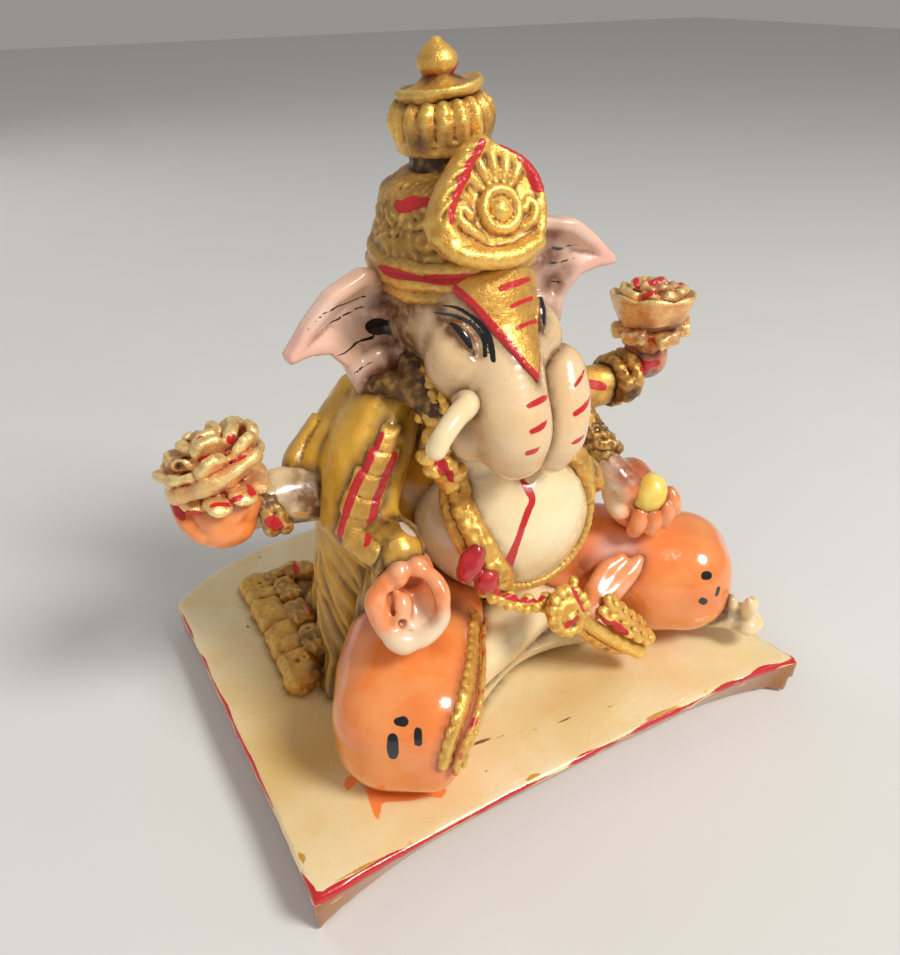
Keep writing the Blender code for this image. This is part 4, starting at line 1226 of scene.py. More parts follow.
def front_plate(crumple):
    """The cast crest of the crown: a heavy rim, rays, a ringed boss and two scrolls."""
    place = ((0.2, -12.0, 81.8), (-24, 0, 0))
    edge = [(-0.2, 8.6), (1.6, 7.4), (3.4, 6.4), (5.2, 5.0), (6.5, 2.6), (6.5, -0.7), (5.4, -3.9),
            (2.6, -5.6), (-1.0, -6.2), (-4.4, -5.6), (-7.4, -3.6), (-8.8, -1.4), (-8.9, 0.6),
            (-7.5, 2.7), (-5.9, 4.6), (-4.2, 6.1), (-2.5, 7.6)]
    rim_line = [(0.8 * x, 0.84 * z + 0.1) for x, z in edge[9:] + edge[:1]]
    right_rim = [(0.86 * x, 0.86 * z + 0.1) for x, z in edge[:8]]
    front = -1.3
    rim = bar([(x, front + 0.1, z, 1.0) for x, z in rim_line], 3)
    notches = [egg((x * 1.05 + 0.1, front - 0.9, z * 1.05), (0.28, 0.6, 1.4), (0, 50 + 12 * i, 0))
               for i, (x, z) in enumerate(rim_line[3:8])]
    far_rim = bar([(x, front + 0.2, z, 0.75) for x, z in right_rim], 3)
    roll = bar([(-8.0, front + 0.4, -1.6, 0.9), (-6.4, front - 0.1, -3.6, 1.1),
                (-3.4, front - 0.3, -4.9, 1.2), (0.4, front - 0.3, -5.3, 1.2),
                (4.0, front, -4.4, 1.0)], 5)
    medallion = join(0.25, ring((0.0, front - 0.3, 0.0), (2.2, 2.2), 0.6, (90, 0, 0)),
                     egg((0, front - 0.2, 0), (1.45, 1.1, 1.45)))
    rays = []
    for angle in (48, 66, 84, 102, 122):
        c, s = math.cos(math.radians(angle)), math.sin(math.radians(angle))
        rays.append([(3.0 * c, front, 3.0 * s, 0.35), (4.6 * c, front - 0.15, 4.6 * s, 0.55),
                     (6.2 * c, front, 6.2 * s, 0.5)])
    curls = [
        [(-3.0, front, -2.6, 0.4), (-4.4, front - 0.2, -1.4, 0.6), (-5.4, front - 0.2, 0.2, 0.5),
         (-4.6, front, 1.2, 0.45), (-3.9, front - 0.1, 0.2, 0.5)],
        [(-6.8, front, -0.6, 0.4), (-5.6, front - 0.1, -2.4, 0.5), (-3.6, front - 0.1, -3.7, 0.45)],
        [(2.6, front, -2.4, 0.4), (3.9, front - 0.2, -1.9, 0.55), (4.6, front - 0.2, -0.6, 0.5),
         (3.9, front, 0.4, 0.45), (3.3, front - 0.1, -0.5, 0.4)],
        [(-3.6, front, 2.0, 0.4), (-4.6, front - 0.1, 3.0, 0.5), (-3.2, front - 0.1, 4.0, 0.45)],
    ]
    relief_work = join(0.3, *(bar(line, 4) for line in rays + curls))
    plate = leaf(edge, 2.6, (0, 0, 0), (0, 0, 0), 0.9)
    crest = join(0.4, carve(0.3, join(0.4, plate, rim, far_rim), *notches), roll, relief_work, medallion)
    crest = relief(crest, crumple, 0.10)
    left_red = [[(-0.5, front - 0.9, 7.4, 0.45), (-1.3, front - 0.9, 6.4, 0.5)],
                [(-1.9, front - 0.9, 6.0, 0.5), (-2.9, front - 0.9, 5.1, 0.6)],
                [(-3.3, front - 0.9, 4.5, 0.55), (-4.4, front - 0.9, 3.5, 0.6)],
                [(-4.8, front - 0.9, 2.9, 0.5), (-5.6, front - 0.9, 1.9, 0.55)],
                [(-6.0, front - 0.9, 1.4, 0.5), (-6.7, front - 0.9, 0.0, 0.5)]]
    right_red = [[(2.0, front - 0.8, 6.9, 0.4), (3.6, front - 0.8, 5.9, 0.55)],
                 [(4.0, front - 0.8, 5.0, 0.5), (5.0, front - 0.8, 3.8, 0.7)],
                 [(5.2, front - 0.8, 3.0, 0.8), (5.6, front - 0.8, 1.6, 0.9)]]
    red = strokes(*left_red, *right_red, flat=(1, 0.4, 1))
    plan("crown_crest", placed(crest, *place), STEP_FINE, "gold_paint", GOLD_FOIL,
         {"red": placed(red, *place)}, wash_and_shade=0.6, replaces=["crown_front_plate", "crown_medallion"])


def finial(foil, crumple):
    """A dark neck, a fluted pot, its lid and a bud."""
    neck = lathe([(5.0, 81.4), (4.4, 83.0), (3.9, 87.8)], (0.5, -0.1))
    plan("crown_neck", relief(neck, foil, 0.2), STEP_PLAIN, "aged_gold_paint", AGED_GOLD,
         {"stain_and_shade": everywhere(1.0)})
    pot = lathe([(4.8, 87.3), (5.8, 88.1), (6.4, 89.4), (6.6, 90.8), (6.2, 92.1), (5.2, 93.1)], (0.8, 0.0),
                17, 0.75)
    foot = join(0.3, ring((0.8, 0.0, 87.6), (5.1, 5.1), 0.7), ring((0.8, 0.0, 88.5), (5.5, 5.5), 0.45))
    pits = []
    for angle, height in ((-109, 91.4), (-129, 89.8), (-66, 90.6), (-20, 90.2), (25, 91.0), (80, 90.0),
                          (130, 91.0), (175, 90.2)):
        angle = math.radians(angle)
        pits.append(egg((0.8 + 6.9 * math.cos(angle), 6.9 * math.sin(angle), height), (0.85, 0.85, 0.8)))
    pot = relief(carve(0.25, join(0.4, pot, foot), *pits), crumple, 0.16)
    # The hearts of the three front pits are painted brown: painted shade inside them
    hearts = [relief(pit, crumple, -0.3) for pit in pits[:3]]
    plan("finial_pot", pot, STEP_FINE, "gold_paint", GOLD_FOIL,
         {"brown": join(0.2, *hearts), "stain_and_shade": soft_spots(((-4.6, -3.4, 88.8), 2.0, 1.0),
                                                           ((-1.0, -5.6, 88.6), 1.6, 0.8),
                                                           ((5.0, -4.0, 89.6), 2.2, 0.9))}, wash_and_shade=0.9)
    lid = placed(lathe([(4.4, -1.0), (5.0, -0.7), (5.4, 0.0), (5.2, 0.5), (4.4, 0.2), (3.2, 0.3),
                        (2.2, 1.0), (1.5, 1.7)], (0.0, 0.0)), (0.7, 0, 93.9), (-3, -4, 0))
    plan("finial_lid", relief(relief(lid, noise(3.0, 77), 0.3), crumple, 0.10), STEP_FINE, "gold_paint",
         GOLD_FOIL, {"stain_and_shade": soft_spots(((2.6, -2.0, 94.4), 1.6, 0.9), ((-1.6, -1.6, 94.8), 1.2, 0.8))},
         wash_and_shade=0.8)
    bud = lathe([(1.2, 94.7), (1.9, 95.3), (2.4, 96.1), (2.45, 96.9), (2.0, 97.7), (1.15, 98.5),
                 (0.4, 99.2)], (0.7, 0.0))
    bud = relief(bud, crumple, 0.08)
    plan("finial_bud", bud, STEP_FINE, "gold_paint", GOLD_FOIL,
         {"red": on_skin(bud, [(1.8, -1.8, 95.4, 0.5), (2.4, -1.6, 96.2, 0.4)],
                         [(-1.2, -0.9, 95.3, 0.3), (-0.6, -1.6, 95.1, 0.3)])}, wash_and_shade=0.6)


# ---------------------------------------------------------------------------------------------------
# Arms and hands
# ---------------------------------------------------------------------------------------------------


def arms():
    """The front right arm in its sleeve, with armband and wristlet, then the other arms and all hands."""
    weave = noise(2.2, 81)
    skin = noise(3.0, 82)
    upper = bar([(-8, -1, 59.6, 3.4), (-11.6, -1.6, 56.0, 4.8), (-15.6, -3.2, 51.4, 5.6),
                 (-18.6, -4.8, 46.0, 5.4), (-19.6, -5.6, 43.6, 5.0)], 5)
    forearm = bar([(-19.4, -6.2, 42.8, 4.8), (-18.6, -10.4, 41.6, 4.2), (-17.8, -13.4, 41.6, 3.3)], 5)
    mantle = bar([(-8.6, 3.0, 57.6, 4.4), (-13.2, 3.6, 54.0, 4.6), (-18.2, 3.6, 50.4, 4.4),
                  (-23.0, 2.6, 48.4, 3.2)], 5)
    sleeve = join(1.6, upper, forearm, mantle)

    def crease(points):
        bend = 1.4 * points[:, 0] - 0.9 * points[:, 2] + 1.8 * np.sin(0.4 * points[:, 2]
                                                                      + 0.3 * points[:, 1])
        behind = fade(points[:, 1] + 9.0, 5.0)
        return behind * (np.sin(bend) + 0.4 * np.sin(2.3 * bend + 1.0))

    cloth = relief(relief(sleeve, crease, 0.34), weave, 0.22)

    # Painted shade: the sleeve darkens brown low down at its back
    def sleeve_shade(points):
        return fade(48.5 - points[:, 2], 5.0, 0.6) * fade(points[:, 1] + 3.0, 3.0)

    glaze = on_skin(cloth, [(-15.4, -13.6, 44.6, 1.3), (-14.6, -12.8, 45.6, 1.0)])
    plan("front_right_arm", cloth, STEP_PLAIN, "yellow_paint", YELLOW_CLOTH,
         {"tint": sleeve_shade, "gold": on_skin(cloth, [(-19.0, -15.4, 44.0, 0.7), (-17.0, -15.4, 43.8, 0.9)]),
          "pale": glaze})
    plates = []
    for x, y, z, wide, tall in ((-15.6, -9.2, 55.0, 1.3, 1.3), (-17.2, -9.8, 52.6, 2.0, 1.45),
                                (-19.2, -10.0, 50.2, 2.4, 1.5),
                                (-20.8, -10.2, 47.6, 2.6, 1.5), (-21.8, -10.4, 44.6, 2.7, 1.9)):
        plates.append(cushion((x, y, z), (wide, 4.0, tall), (0, 24, -34), 0.5))
    scales = laid_on(upper, join(0.05, *plates), 1.0, 0.9)
    lower_scale = laid_on(sleeve, cushion((-21.4, -10.6, 43.2), (2.4, 4.0, 1.8), (0, 24, -30), 0.5), 0.8,
                          0.9)
    armband = relief(join(0.1, scales, lower_scale), granules(0.9, 84), 0.08)
    plan("right_armband", armband, STEP_FINE, "gold_paint", GOLD_FOIL,
         {"red": on_skin(armband, [(-16.2, -9.0, 57.0, 0.45), (-17.8, -9.2, 54.4, 0.6),
                                   (-19.8, -9.4, 52.0, 0.6), (-21.6, -9.4, 49.0, 0.6),
                                   (-23.0, -9.4, 45.6, 0.5), (-23.6, -9.2, 43.0, 0.35)],
                         [(-14.2, -9.8, 53.4, 0.5), (-15.6, -10.4, 52.0, 0.7), (-17.6, -11.0, 49.8, 0.6),
                          (-19.4, -11.6, 47.0, 0.65), (-20.4, -12.0, 44.8, 0.6),
                          (-21.6, -11.8, 42.4, 0.35)])}, wash_and_shade=0.6)
    wristlet = relief(join(0.3, ring((-17.8, -12.4, 41.2), (3.4, 3.4), 0.8, (80, 0, 10)),
                           ring((-17.8, -13.8, 40.8), (3.2, 3.2), 0.8, (80, 0, 10))),
                      granules(1.0, 85), 0.3)
    plan("right_wristlet", wristlet, STEP_RELIEF, "aged_gold_paint", AGED_GOLD)
    open_hand()
    raised_hands(skin, weave)
    fist(skin)


def open_hand():
    """The lowered right hand: a cupped palm inside a ring of curled fingers, its tips pale."""
    place = ((-19.3, -18.5, 36.5), (-39, 0, -26.6))
    palm = egg((0, 2.4, 0.2), (4.6, 3.5, 5.3))
    left = [(-1.0, 0.6, -5.6, 1.5), (-3.0, 0.2, -3.4, 1.5), (-4.2, -0.4, -0.6, 1.5),
            (-4.0, -0.8, 1.6, 1.45), (-2.6, -1.0, 3.4, 1.4), (-1.9, -0.8, 4.4, 1.0)]
    right = [(2.0, -1.0, 4.8, 1.1), (3.2, -1.0, 3.8, 1.4), (4.1, -0.8, 1.6, 1.35), (4.5, -0.4, -0.6, 1.3),
             (4.0, 0.2, -2.6, 1.3), (2.2, 0.6, -4.4, 1.4), (-0.6, 0.6, -5.6, 1.6)]
    knuckles = [egg((-0.9, -1.2, 4.2), (1.5, 1.5, 1.9), (0, 12, 0)),
                egg((1.6, -1.0, 4.9), (1.4, 1.4, 1.5), (0, -20, 0)),
                egg((-4.3, -0.9, 0.8), (1.2, 1.3, 1.8)), egg((4.5, -0.8, 0.6), (1.0, 1.2, 1.6))]
    left, right = ([(0.96 * x, y, 0.88 * z, 0.92 * radius) for x, y, z, radius in line]
                   for line in (left, right))
    hollow = egg((1.5, -1.0, 0.0), (2.0, 2.2, 3.2), (0, -14, 0))
    groove = bar([(-2.3, -0.9, 1.6, 0.5), (-2.0, -0.7, -0.4, 0.6), (-1.0, -0.4, -2.4, 0.4)], 4)
    pit = egg((0.6, 0.0, 2.5), (1.5, 1.9, 0.8), (0, -14, 0))
    mound = egg((-1.0, -0.1, -0.6), (1.5, 1.5, 2.6), (0, 14, 0))
    tip = egg((-1.4, 0.2, -4.4), (2.0, 1.4, 1.5))
    wrist = bar([(0.6, 3.6, 4.0, 3.2), (0.2, 2.6, 1.0, 3.6)], 1)
    hand = join(0.5, carve(0.7, join(0.9, palm, wrist, bar(left, 5), bar(right, 5)), hollow, pit), mound,
                tip, *knuckles)
    hand = carve(0.4, hand, groove)

    def pale(points):
        x, z = points[:, 0], points[:, 2]
        low = fade(-1.6 - z + 0.25 * x, 2.4, 0.85)
        inside = np.exp(-(((x - 1.2) / 1.8) ** 2 + ((z + 1.6) / 2.2) ** 2)) * 0.7
        knuckle = np.exp(-(((x + 0.7) / 1.2) ** 2 + ((z - 5.0) / 1.3) ** 2)) * 0.35
        return np.clip(low + inside + knuckle, 0.0, 0.92)

    # The palm's pit is painted dark brown: painted shade inside it
    dark = join(0.2, egg((0.7, -0.6, 2.6), (1.2, 2.0, 0.5), (0, -14, 0)),
                egg((-0.4, -1.0, 2.0), (0.6, 1.0, 0.35), (0, 30, 0)))
    plan("front_right_hand", placed(relief(hand, noise(2.4, 83), 0.34), *place), STEP_FINE, "orange_paint",
         ORANGE_SKIN, {"tint": placed_value(pale, *place), "brown": placed(dark, *place)}, wash_and_shade=0.35)


def raised_hands(skin, weave):
    """The two rear arms, each holding up a lotus."""
    place = ((-36.4, -3.0, 47.5), (-27.6, 0, -13.3))
    fingers = [
        [(-5.0, 1.4, 3.8, 1.5), (-4.8, 0.4, 1.4, 1.5), (-3.4, 0.8, -0.6, 1.3)],
        [(-2.8, 0.6, 4.2, 1.4), (-2.2, -0.4, 2.0, 1.6), (-1.2, 0.2, -0.2, 1.4)],
        [(-0.2, 0.4, 4.8, 1.4), (0.8, -0.8, 3.0, 1.7), (0.8, 0.0, 0.8, 1.5)],
        [(2.6, 1.2, 5.0, 1.3), (3.4, 0.4, 3.2, 1.7), (2.8, 0.8, 1.0, 1.5)],
        [(-1.6, 0.2, 1.2, 0.9), (0.6, -0.8, 0.6, 1.0), (2.6, -0.4, 1.6, 0.9)],
    ]
    hand = join(0.3, join(1.2, egg((0.0, 2.6, 1.6), (4.8, 3.6, 4.2)),
                          egg((-0.4, 1.4, -0.8), (3.2, 2.6, 2.3))), *(bar(line, 4) for line in fingers))
    plan("rear_right_hand", placed(relief(hand, skin, 0.3), *place), STEP_RELIEF, "orange_paint",
         ORANGE_GLOSS, {"red": placed(strokes([(-5.6, 0.4, 3.6, 1.1), (-5.0, -0.6, 2.0, 0.5)]), *place)},
         wash_and_shade=0.6)
    arm = bar([(-34.5, 0, 46.6, 2.6), (-30, 0.8, 46.6, 3.7), (-25, 1.2, 45.6, 4.2), (-19, 1.8, 44.4, 4.4)],
              5)
    arm = relief(arm, skin, 0.2)
    plan("rear_right_arm", arm, STEP_RELIEF, "ivory_resin", FLESH,
         # Painted shade where the arm passes behind the front arm's sleeve
         {"stain_and_shade": soft_spots(((-25.4, -2.4, 48.0), 2.6, 1.3), ((-24.2, -3.0, 45.6), 2.8, 1.4),
                              ((-22.8, -2.0, 42.0), 2.8, 1.3), ((-26.0, -2.6, 43.0), 2.2, 0.9),
                              ((-28.6, -2.6, 44.2), 1.6, 0.6)),
          "gold": on_skin(arm, [(-27.6, -3.2, 45.4, 0.2), (-26.0, -3.6, 44.6, 0.25)])}, wash_and_shade=0.5)
    cuffs = relief(join(0.2, ring((-31.0, 0.8, 46.0), (3.6, 3.8), 1.0, (0, 80, 0)),
                        ring((-29.4, 1.0, 45.6), (3.9, 4.0), 0.9, (0, 76, 0))), granules(1.0, 86), 0.3)
    plan("rear_right_bracelet", cuffs, STEP_FINE, "aged_gold_paint", DARK_GOLD,
         {"red": on_skin(cuffs, [(-31.0, -3.6, 46.2, 1.0), (-30.2, -3.8, 44.8, 0.8)]),
          "brown": on_skin(cuffs, [(-31.8, -3.2, 48.8, 0.8), (-29.6, -3.0, 48.8, 0.7)])})
    left_place = ((36.0, 0.0, 50.0), (-22, 0, -44))
    left_fingers = [
        [(-2.8, 0.4, 1.2, 1.2), (-2.4, -0.6, -1.4, 1.3), (-2.6, 0.0, -3.0, 1.2)],
        [(-0.4, 0.0, 1.4, 1.2), (-0.2, -1.0, -1.6, 1.4), (-0.6, -0.4, -3.4, 1.3)],
        [(1.8, 0.4, 1.4, 1.2), (1.7, -0.6, -1.0, 1.3), (1.2, 0.0, -2.8, 1.2)],
    ]
    left_hand = join(0.4, egg((-0.6, 1.6, -1.2), (3.6, 3.0, 3.8)), *(bar(line, 4) for line in left_fingers))
    plan("rear_left_hand", placed(relief(left_hand, skin, 0.2), *left_place), STEP_RELIEF, "pink_paint",
         ROSE_SKIN,
         {"red": placed(on_skin(left_hand,
                                [(-2.8, -1.8, -1.6, 0.6), (-0.2, -2.4, -2.8, 0.8), (1.6, -1.8, -2.2, 0.5)]),
                        *left_place)})
    left_arm = bar([(34, 0.5, 46.8, 2.2), (29.5, 2, 45, 3.2), (23, 3, 45.5, 4), (13, 4, 49, 5)], 5)
    plan("rear_left_arm", relief(relief(left_arm, weave, 0.3), skin, 0.2), STEP_RELIEF, "aged_gold_paint",
         AGED_GOLD,
         {"red": on_skin(left_arm, [(24.4, -1.4, 48.0, 0.9), (26.4, -1.6, 46.8, 0.7)])})
    left_cuffs = relief(join(0.3, ring((31.8, 1.2, 46.0), (3.2, 3.4), 1.1, (0, 100, 0)),
                             ring((29.8, 2.0, 45.4), (3.3, 3.4), 1.0, (0, 100, 0)),
                             egg((30.4, -2.0, 45.2), (2.0, 1.4, 2.2))), granules(1.2, 87), 0.35)
    plan("rear_left_bracelet", left_cuffs, STEP_FINE, "aged_gold_paint", DARK_GOLD,
         {"stain_and_shade": soft_spots(((30.2, -3.0, 45.0), 1.6, 1.3)),
          "red": on_skin(left_cuffs, [(32.4, -2.2, 48.2, 0.5), (33.0, -2.4, 46.4, 0.6),
                                      (34.0, -1.8, 45.4, 0.4)])})


def fist(skin):
    """The front left arm with its wristlet, and its hand closed round a sweet."""
    weave = granules(1.2, 88)
    line = [(9, 1.5, 57, 2.8), (12, 0, 53.5, 4.8), (16, -1.8, 47.4, 4.4), (19.2, -4.6, 42.2, 3.5),
            (20.6, -7.4, 39.2, 2.9)]
    arm = relief(bar(line, 5), weave, 0.4)
    plan("front_left_arm", arm, STEP_RELIEF, "aged_gold_paint", DARK_GOLD,
         {"gold": on_skin(arm, [(15.6, -7.0, 49.0, 1.4), (18.0, -7.8, 46.0, 1.6), (19.6, -8.0, 43.4, 1.2)]),
          "brown": on_skin(arm, [(14.6, -6.0, 51.4, 0.9), (16.8, -6.4, 50.6, 0.8)],
                           [(20.4, -7.6, 45.2, 0.7), (21.6, -7.6, 43.2, 0.6)])})
    stations = ((19.2, -4.4, 42.2), (19.8, -5.6, 41.0), (20.4, -6.8, 39.8))
    cuff = join(0.2, *(ring(station, (3.2, 3.2), 0.8, (-38, 28, 0)) for station in stations))
    plan("left_wristlet", relief(cuff, granules(0.9, 89), 0.4), STEP_FINE, "gold_paint", DARK_GOLD,
         {"red": on_skin(cuff, [(18.6, -9.4, 39.4, 0.4), (20.4, -10.6, 37.6, 0.4)])})
    place = ((25.2, -14.0, 33.5), (-34, 0, -44))
    palm = egg((-2.0, 2.4, -1.0), (5.0, 4.2, 4.8))
    back = egg((-3.2, 1.0, 1.6), (4.0, 4.0, 4.0))
    thumb = [(-5.8, 1.2, 2.0, 1.5), (-5.5, -0.3, -0.4, 1.7), (-4.2, -1.0, -3.0, 1.5)]
    fingers = [
        [(-1.8, 0.0, -5.8, 1.3), (-1.2, -1.2, -4.6, 1.35), (-1.1, -1.6, -3.0, 1.1)],
        [(0.7, 0.2, -5.4, 1.3), (1.1, -0.8, -4.0, 1.3), (0.7, -1.4, -2.6, 1.1)],
        [(2.6, 0.6, -4.2, 1.25), (2.9, -0.4, -2.8, 1.25), (2.3, -1.0, -1.6, 1.0)],
        [(3.8, 1.2, -2.2, 1.2), (3.8, 0.4, -0.8, 1.2), (3.1, 0.0, 0.6, 1.0)],
    ]
    hole = egg((-3.5, -0.9, 1.0), (0.7, 1.6, 0.9))
    seat = egg((-0.2, -1.4, 0.2), (2.8, 1.8, 2.9))
    hand = carve(0.4, join(0.3, join(1.2, palm, back), *(bar(line, 4) for line in [thumb] + fingers)), hole,
                 seat)

    def pale(points):
        return fade(-2.6 - points[:, 0], 1.8) * fade(points[:, 2] + 5.0, 2.0)

    wrist = bar([(20.6, -8.0, 38.6, 2.5), (21.2, -10.4, 36.6, 2.8), (21.8, -12.0, 34.8, 2.7)], 3)
    # Brown spots where the wrist meets the hand
    wrist_darkening = soft_spots(((21.6, -12.6, 38.0), 2.6, 1.2), ((20.2, -12.8, 35.4), 1.6, 0.7))
    hand = join(1.0, placed(hand, *place), wrist)
    plan("front_left_hand", relief(hand, skin, 0.18), STEP_FINE, "orange_paint", ORANGE_SKIN,
         {"tint": placed_value(pale, *place),
          # The hole in the fist is painted black: painted shade inside it
          "black": placed(egg((-3.5, -2.4, 1.0), (0.5, 1.6, 0.7)), *place),
          "stain_and_shade": join_values(wrist_darkening, placed_value(soft_spots(((-2.6, -1.6, 4.4), 2.4, 0.9),
                                                               ((-5.6, 0.0, 3.6), 2.0, 0.8),
                                                               ((-2.6, -2.2, 0.0), 1.3, 0.9)), *place))},
         wash_and_shade=0.6)
    sweet = relief(egg((0.0, -1.1, 0.2), (2.75, 2.5, 3.1), (0, 14, 0)), skin, 0.16)
    plan("sweet", placed(sweet, *place), STEP_RELIEF, "yellow_paint", SWEET, wash_and_shade=0.4)


# ---------------------------------------------------------------------------------------------------
# Lotuses
# ---------------------------------------------------------------------------------------------------


def rosette(centre, turn, radii, whorls, seed, ruffle):
    """A lotus: rings of dished petals round a folded heart, in a cup."""
    rng = np.random.default_rng(seed)
    parts = [egg((0, 0, -0.6), (radii[0] * 0.80, radii[1] * 0.80, radii[2] * 0.62))]
    for share, count, lift, size, lean_out in whorls:
        for index in range(count):
            angle = math.tau * (index + rng.uniform(-0.15, 0.15)) / count + share
            x, y = radii[0] * share * math.cos(angle), radii[1] * share * math.sin(angle)
            high, wide = size * rng.uniform(0.85, 1.1), size * rng.uniform(0.75, 1.0)
            outline = [(-0.45 * wide, -0.6 * high), (0.45 * wide, -0.6 * high), (0.95 * wide, 0.1 * high),
                       (0.8 * wide, 0.7 * high), (0.25 * wide, high), (-0.25 * wide, high),
                       (-0.8 * wide, 0.7 * high), (-0.95 * wide, 0.1 * high)]
            facing = math.degrees(angle) - 90.0 + rng.uniform(-12, 12)
            parts.append(leaf(outline, 1.15, (x, y, lift + rng.uniform(-0.3, 0.3)),
                              (-lean_out + rng.uniform(-10, 10), 0, facing), 0.42, dish=0.5,
                              dish_inset=0.5))
    body = join(0.15, *parts)
    return placed(relief(relief(body, granules(2.0, seed + 5), ruffle), granules(0.8, seed + 9), 0.10),
                  centre, turn)


def lotuses():
    """An open lotus in the right hand, and a smaller one in a fluted cup in the left."""
    place = ((-35.5, 0, 54.6), (-16, -14, 0))
    right = rosette(*place, (6.4, 6.0, 4.2),
                    ((0.76, 8, 0.8, 2.8, 56), (0.52, 6, 2.1, 2.5, 40), (0.28, 4, 2.9, 2.1, 20),
                     (0.04, 2, 3.3, 1.7, 0)), 91, 0.34)
    rim = placed(relief(ring((0, 0, -0.4), (6.1, 5.8), 0.95), noise(2.6, 92), 0.6), *place)
    sepals = []
    for index in range(9):
        angle = math.radians(40 * index + 10)
        sepals.append(egg((-35.4 + 4.8 * math.cos(angle), 0.2 + 4.6 * math.sin(angle),
                           51.4 + 0.3 * (index % 2)), (1.9, 1.9, 0.8), (20, 20, 0)))
    # The hole among the petals is carved and painted black: painted shade inside it
    hole = egg((-40.2, -2.6, 56.4), (0.8, 1.3, 1.6), (0, 10, 0))
    flower = carve(0.3, join(0.3, right, rim, relief(join(0.3, *sepals), granules(1.0, 93), 0.2)), hole)
    red = on_skin(flower, [(-33.2, -3.0, 59.0, 0.7), (-33.6, -4.0, 57.6, 0.5), (-34.0, -4.8, 56.2, 0.6)],
                  [(-39.2, -3.6, 55.6, 0.6), (-38.4, -4.4, 55.4, 0.5)],
                  [(-40.6, 0.0, 58.0, 0.5)] * 2,
                  [(-36.6, -5.0, 55.0, 0.3), (-34.6, -5.4, 56.0, 0.4), (-32.6, -5.0, 57.0, 0.3)],
                  [(-37.4, -3.4, 57.8, 0.5), (-36.4, -3.6, 57.2, 0.6)],
                  [(-38.0, -2.0, 58.8, 0.3), (-36.4, -1.4, 59.6, 0.4)],
                  [(-30.6, -3.4, 53.6, 0.5), (-32.4, -5.0, 52.6, 0.6)],
                  [(-31.6, -1.0, 57.6, 0.5), (-31.2, 0.6, 58.0, 0.4)],
                  [(-40.4, -3.4, 51.0, 0.9), (-39.4, -4.4, 50.6, 0.5)],
                  [(-38.0, -5.2, 52.4, 0.3), (-34.6, -6.0, 52.6, 0.4)])
    plan("right_lotus", flower, STEP_FINE, "gold_paint", LOTUS_GOLD,
         {"red": red, "black": hole, "stain_and_shade": soft_spots(((-36.8, -4.4, 56.6), 1.0, 0.5),
                                                         ((-30.9, -1.6, 56.8), 1.2, 0.8),
                                                         ((-37.0, 0.6, 59.2), 1.0, 0.6))}, wash_and_shade=0.8)
    place = ((36.2, 0, 57.8), (-6, 8, 0))
    left = rosette(*place, (5.6, 5.4, 2.2),
                   ((0.66, 8, 1.2, 1.9, 52), (0.40, 6, 1.9, 1.7, 30), (0.12, 3, 2.3, 1.5, 10)), 95, 0.45)
    cup = placed(lathe([(3.0, -4.2), (5.0, -3.4), (6.0, -1.4), (6.9, 1.1), (6.5, 1.7), (5.2, 0.6)],
                       (0.0, 0.0), 7, 0.4), (36.2, 0, 58.0), (-6, 8, 0))
    tier = []
    for index in range(6):
        angle = math.radians(60 * index + 22)
        tier.append(cushion((36.0 + 4.5 * math.cos(angle), 4.2 * math.sin(angle), 53.4 + 0.5 * (index % 2)),
                            (1.7, 1.9, 1.0), (12, 0, math.degrees(angle)), 0.5))
    stem = lathe([(2.0, 49.5), (2.8, 51.0), (3.8, 52.4), (4.2, 54.0)], (36.0, 0.0), 8, 0.4)
    flower = join(0.15, left, cup, relief(join(0.15, *tier), granules(1.0, 96), 0.3), stem)
    red = on_skin(flower, [(31.6, -2.4, 61.0, 0.7), (33.4, -3.2, 60.8, 0.5)],
                  [(34.4, -1.0, 61.4, 0.7), (36.6, -0.6, 61.6, 0.5), (38.4, 0.6, 61.4, 0.6)],
                  [(39.6, -1.6, 60.4, 0.6), (41.4, -0.4, 60.4, 0.7)],
                  [(37.0, -3.4, 60.0, 0.5), (35.0, -4.0, 60.0, 0.5)],
                  [(32.8, 0.6, 61.6, 0.5), (34.2, 1.6, 61.8, 0.5)],
                  [(40.0, -3.0, 53.8, 0.6), (41.0, -1.6, 54.0, 0.6)],
                  [(32.6, -3.0, 53.4, 0.5), (33.0, -3.8, 53.2, 0.5)])
    band = on_skin(flower, [(31.8, -4.2, 55.4, 0.4), (34.0, -5.4, 55.2, 0.6), (36.6, -5.8, 55.2, 0.6),
                            (39.2, -5.0, 55.4, 0.5), (41.0, -3.4, 55.6, 0.4)])
    plan("left_lotus", flower, STEP_FINE, "gold_paint", LOTUS_GOLD,
         {"red": red, "brown": band, "stain_and_shade": soft_spots(((36.0, -5.4, 55.4), 1.8, 0.8),
                                                         ((32.0, -3.6, 55.0), 1.8, 1.0),
                                                         ((36.0, -1.5, 60.6), 2.8, 0.9),
                                                         ((39.5, -1.0, 60.2), 2.0, 0.9))}, wash_and_shade=0.8)


# ---------------------------------------------------------------------------------------------------
# Garlands and jewels
# ---------------------------------------------------------------------------------------------------


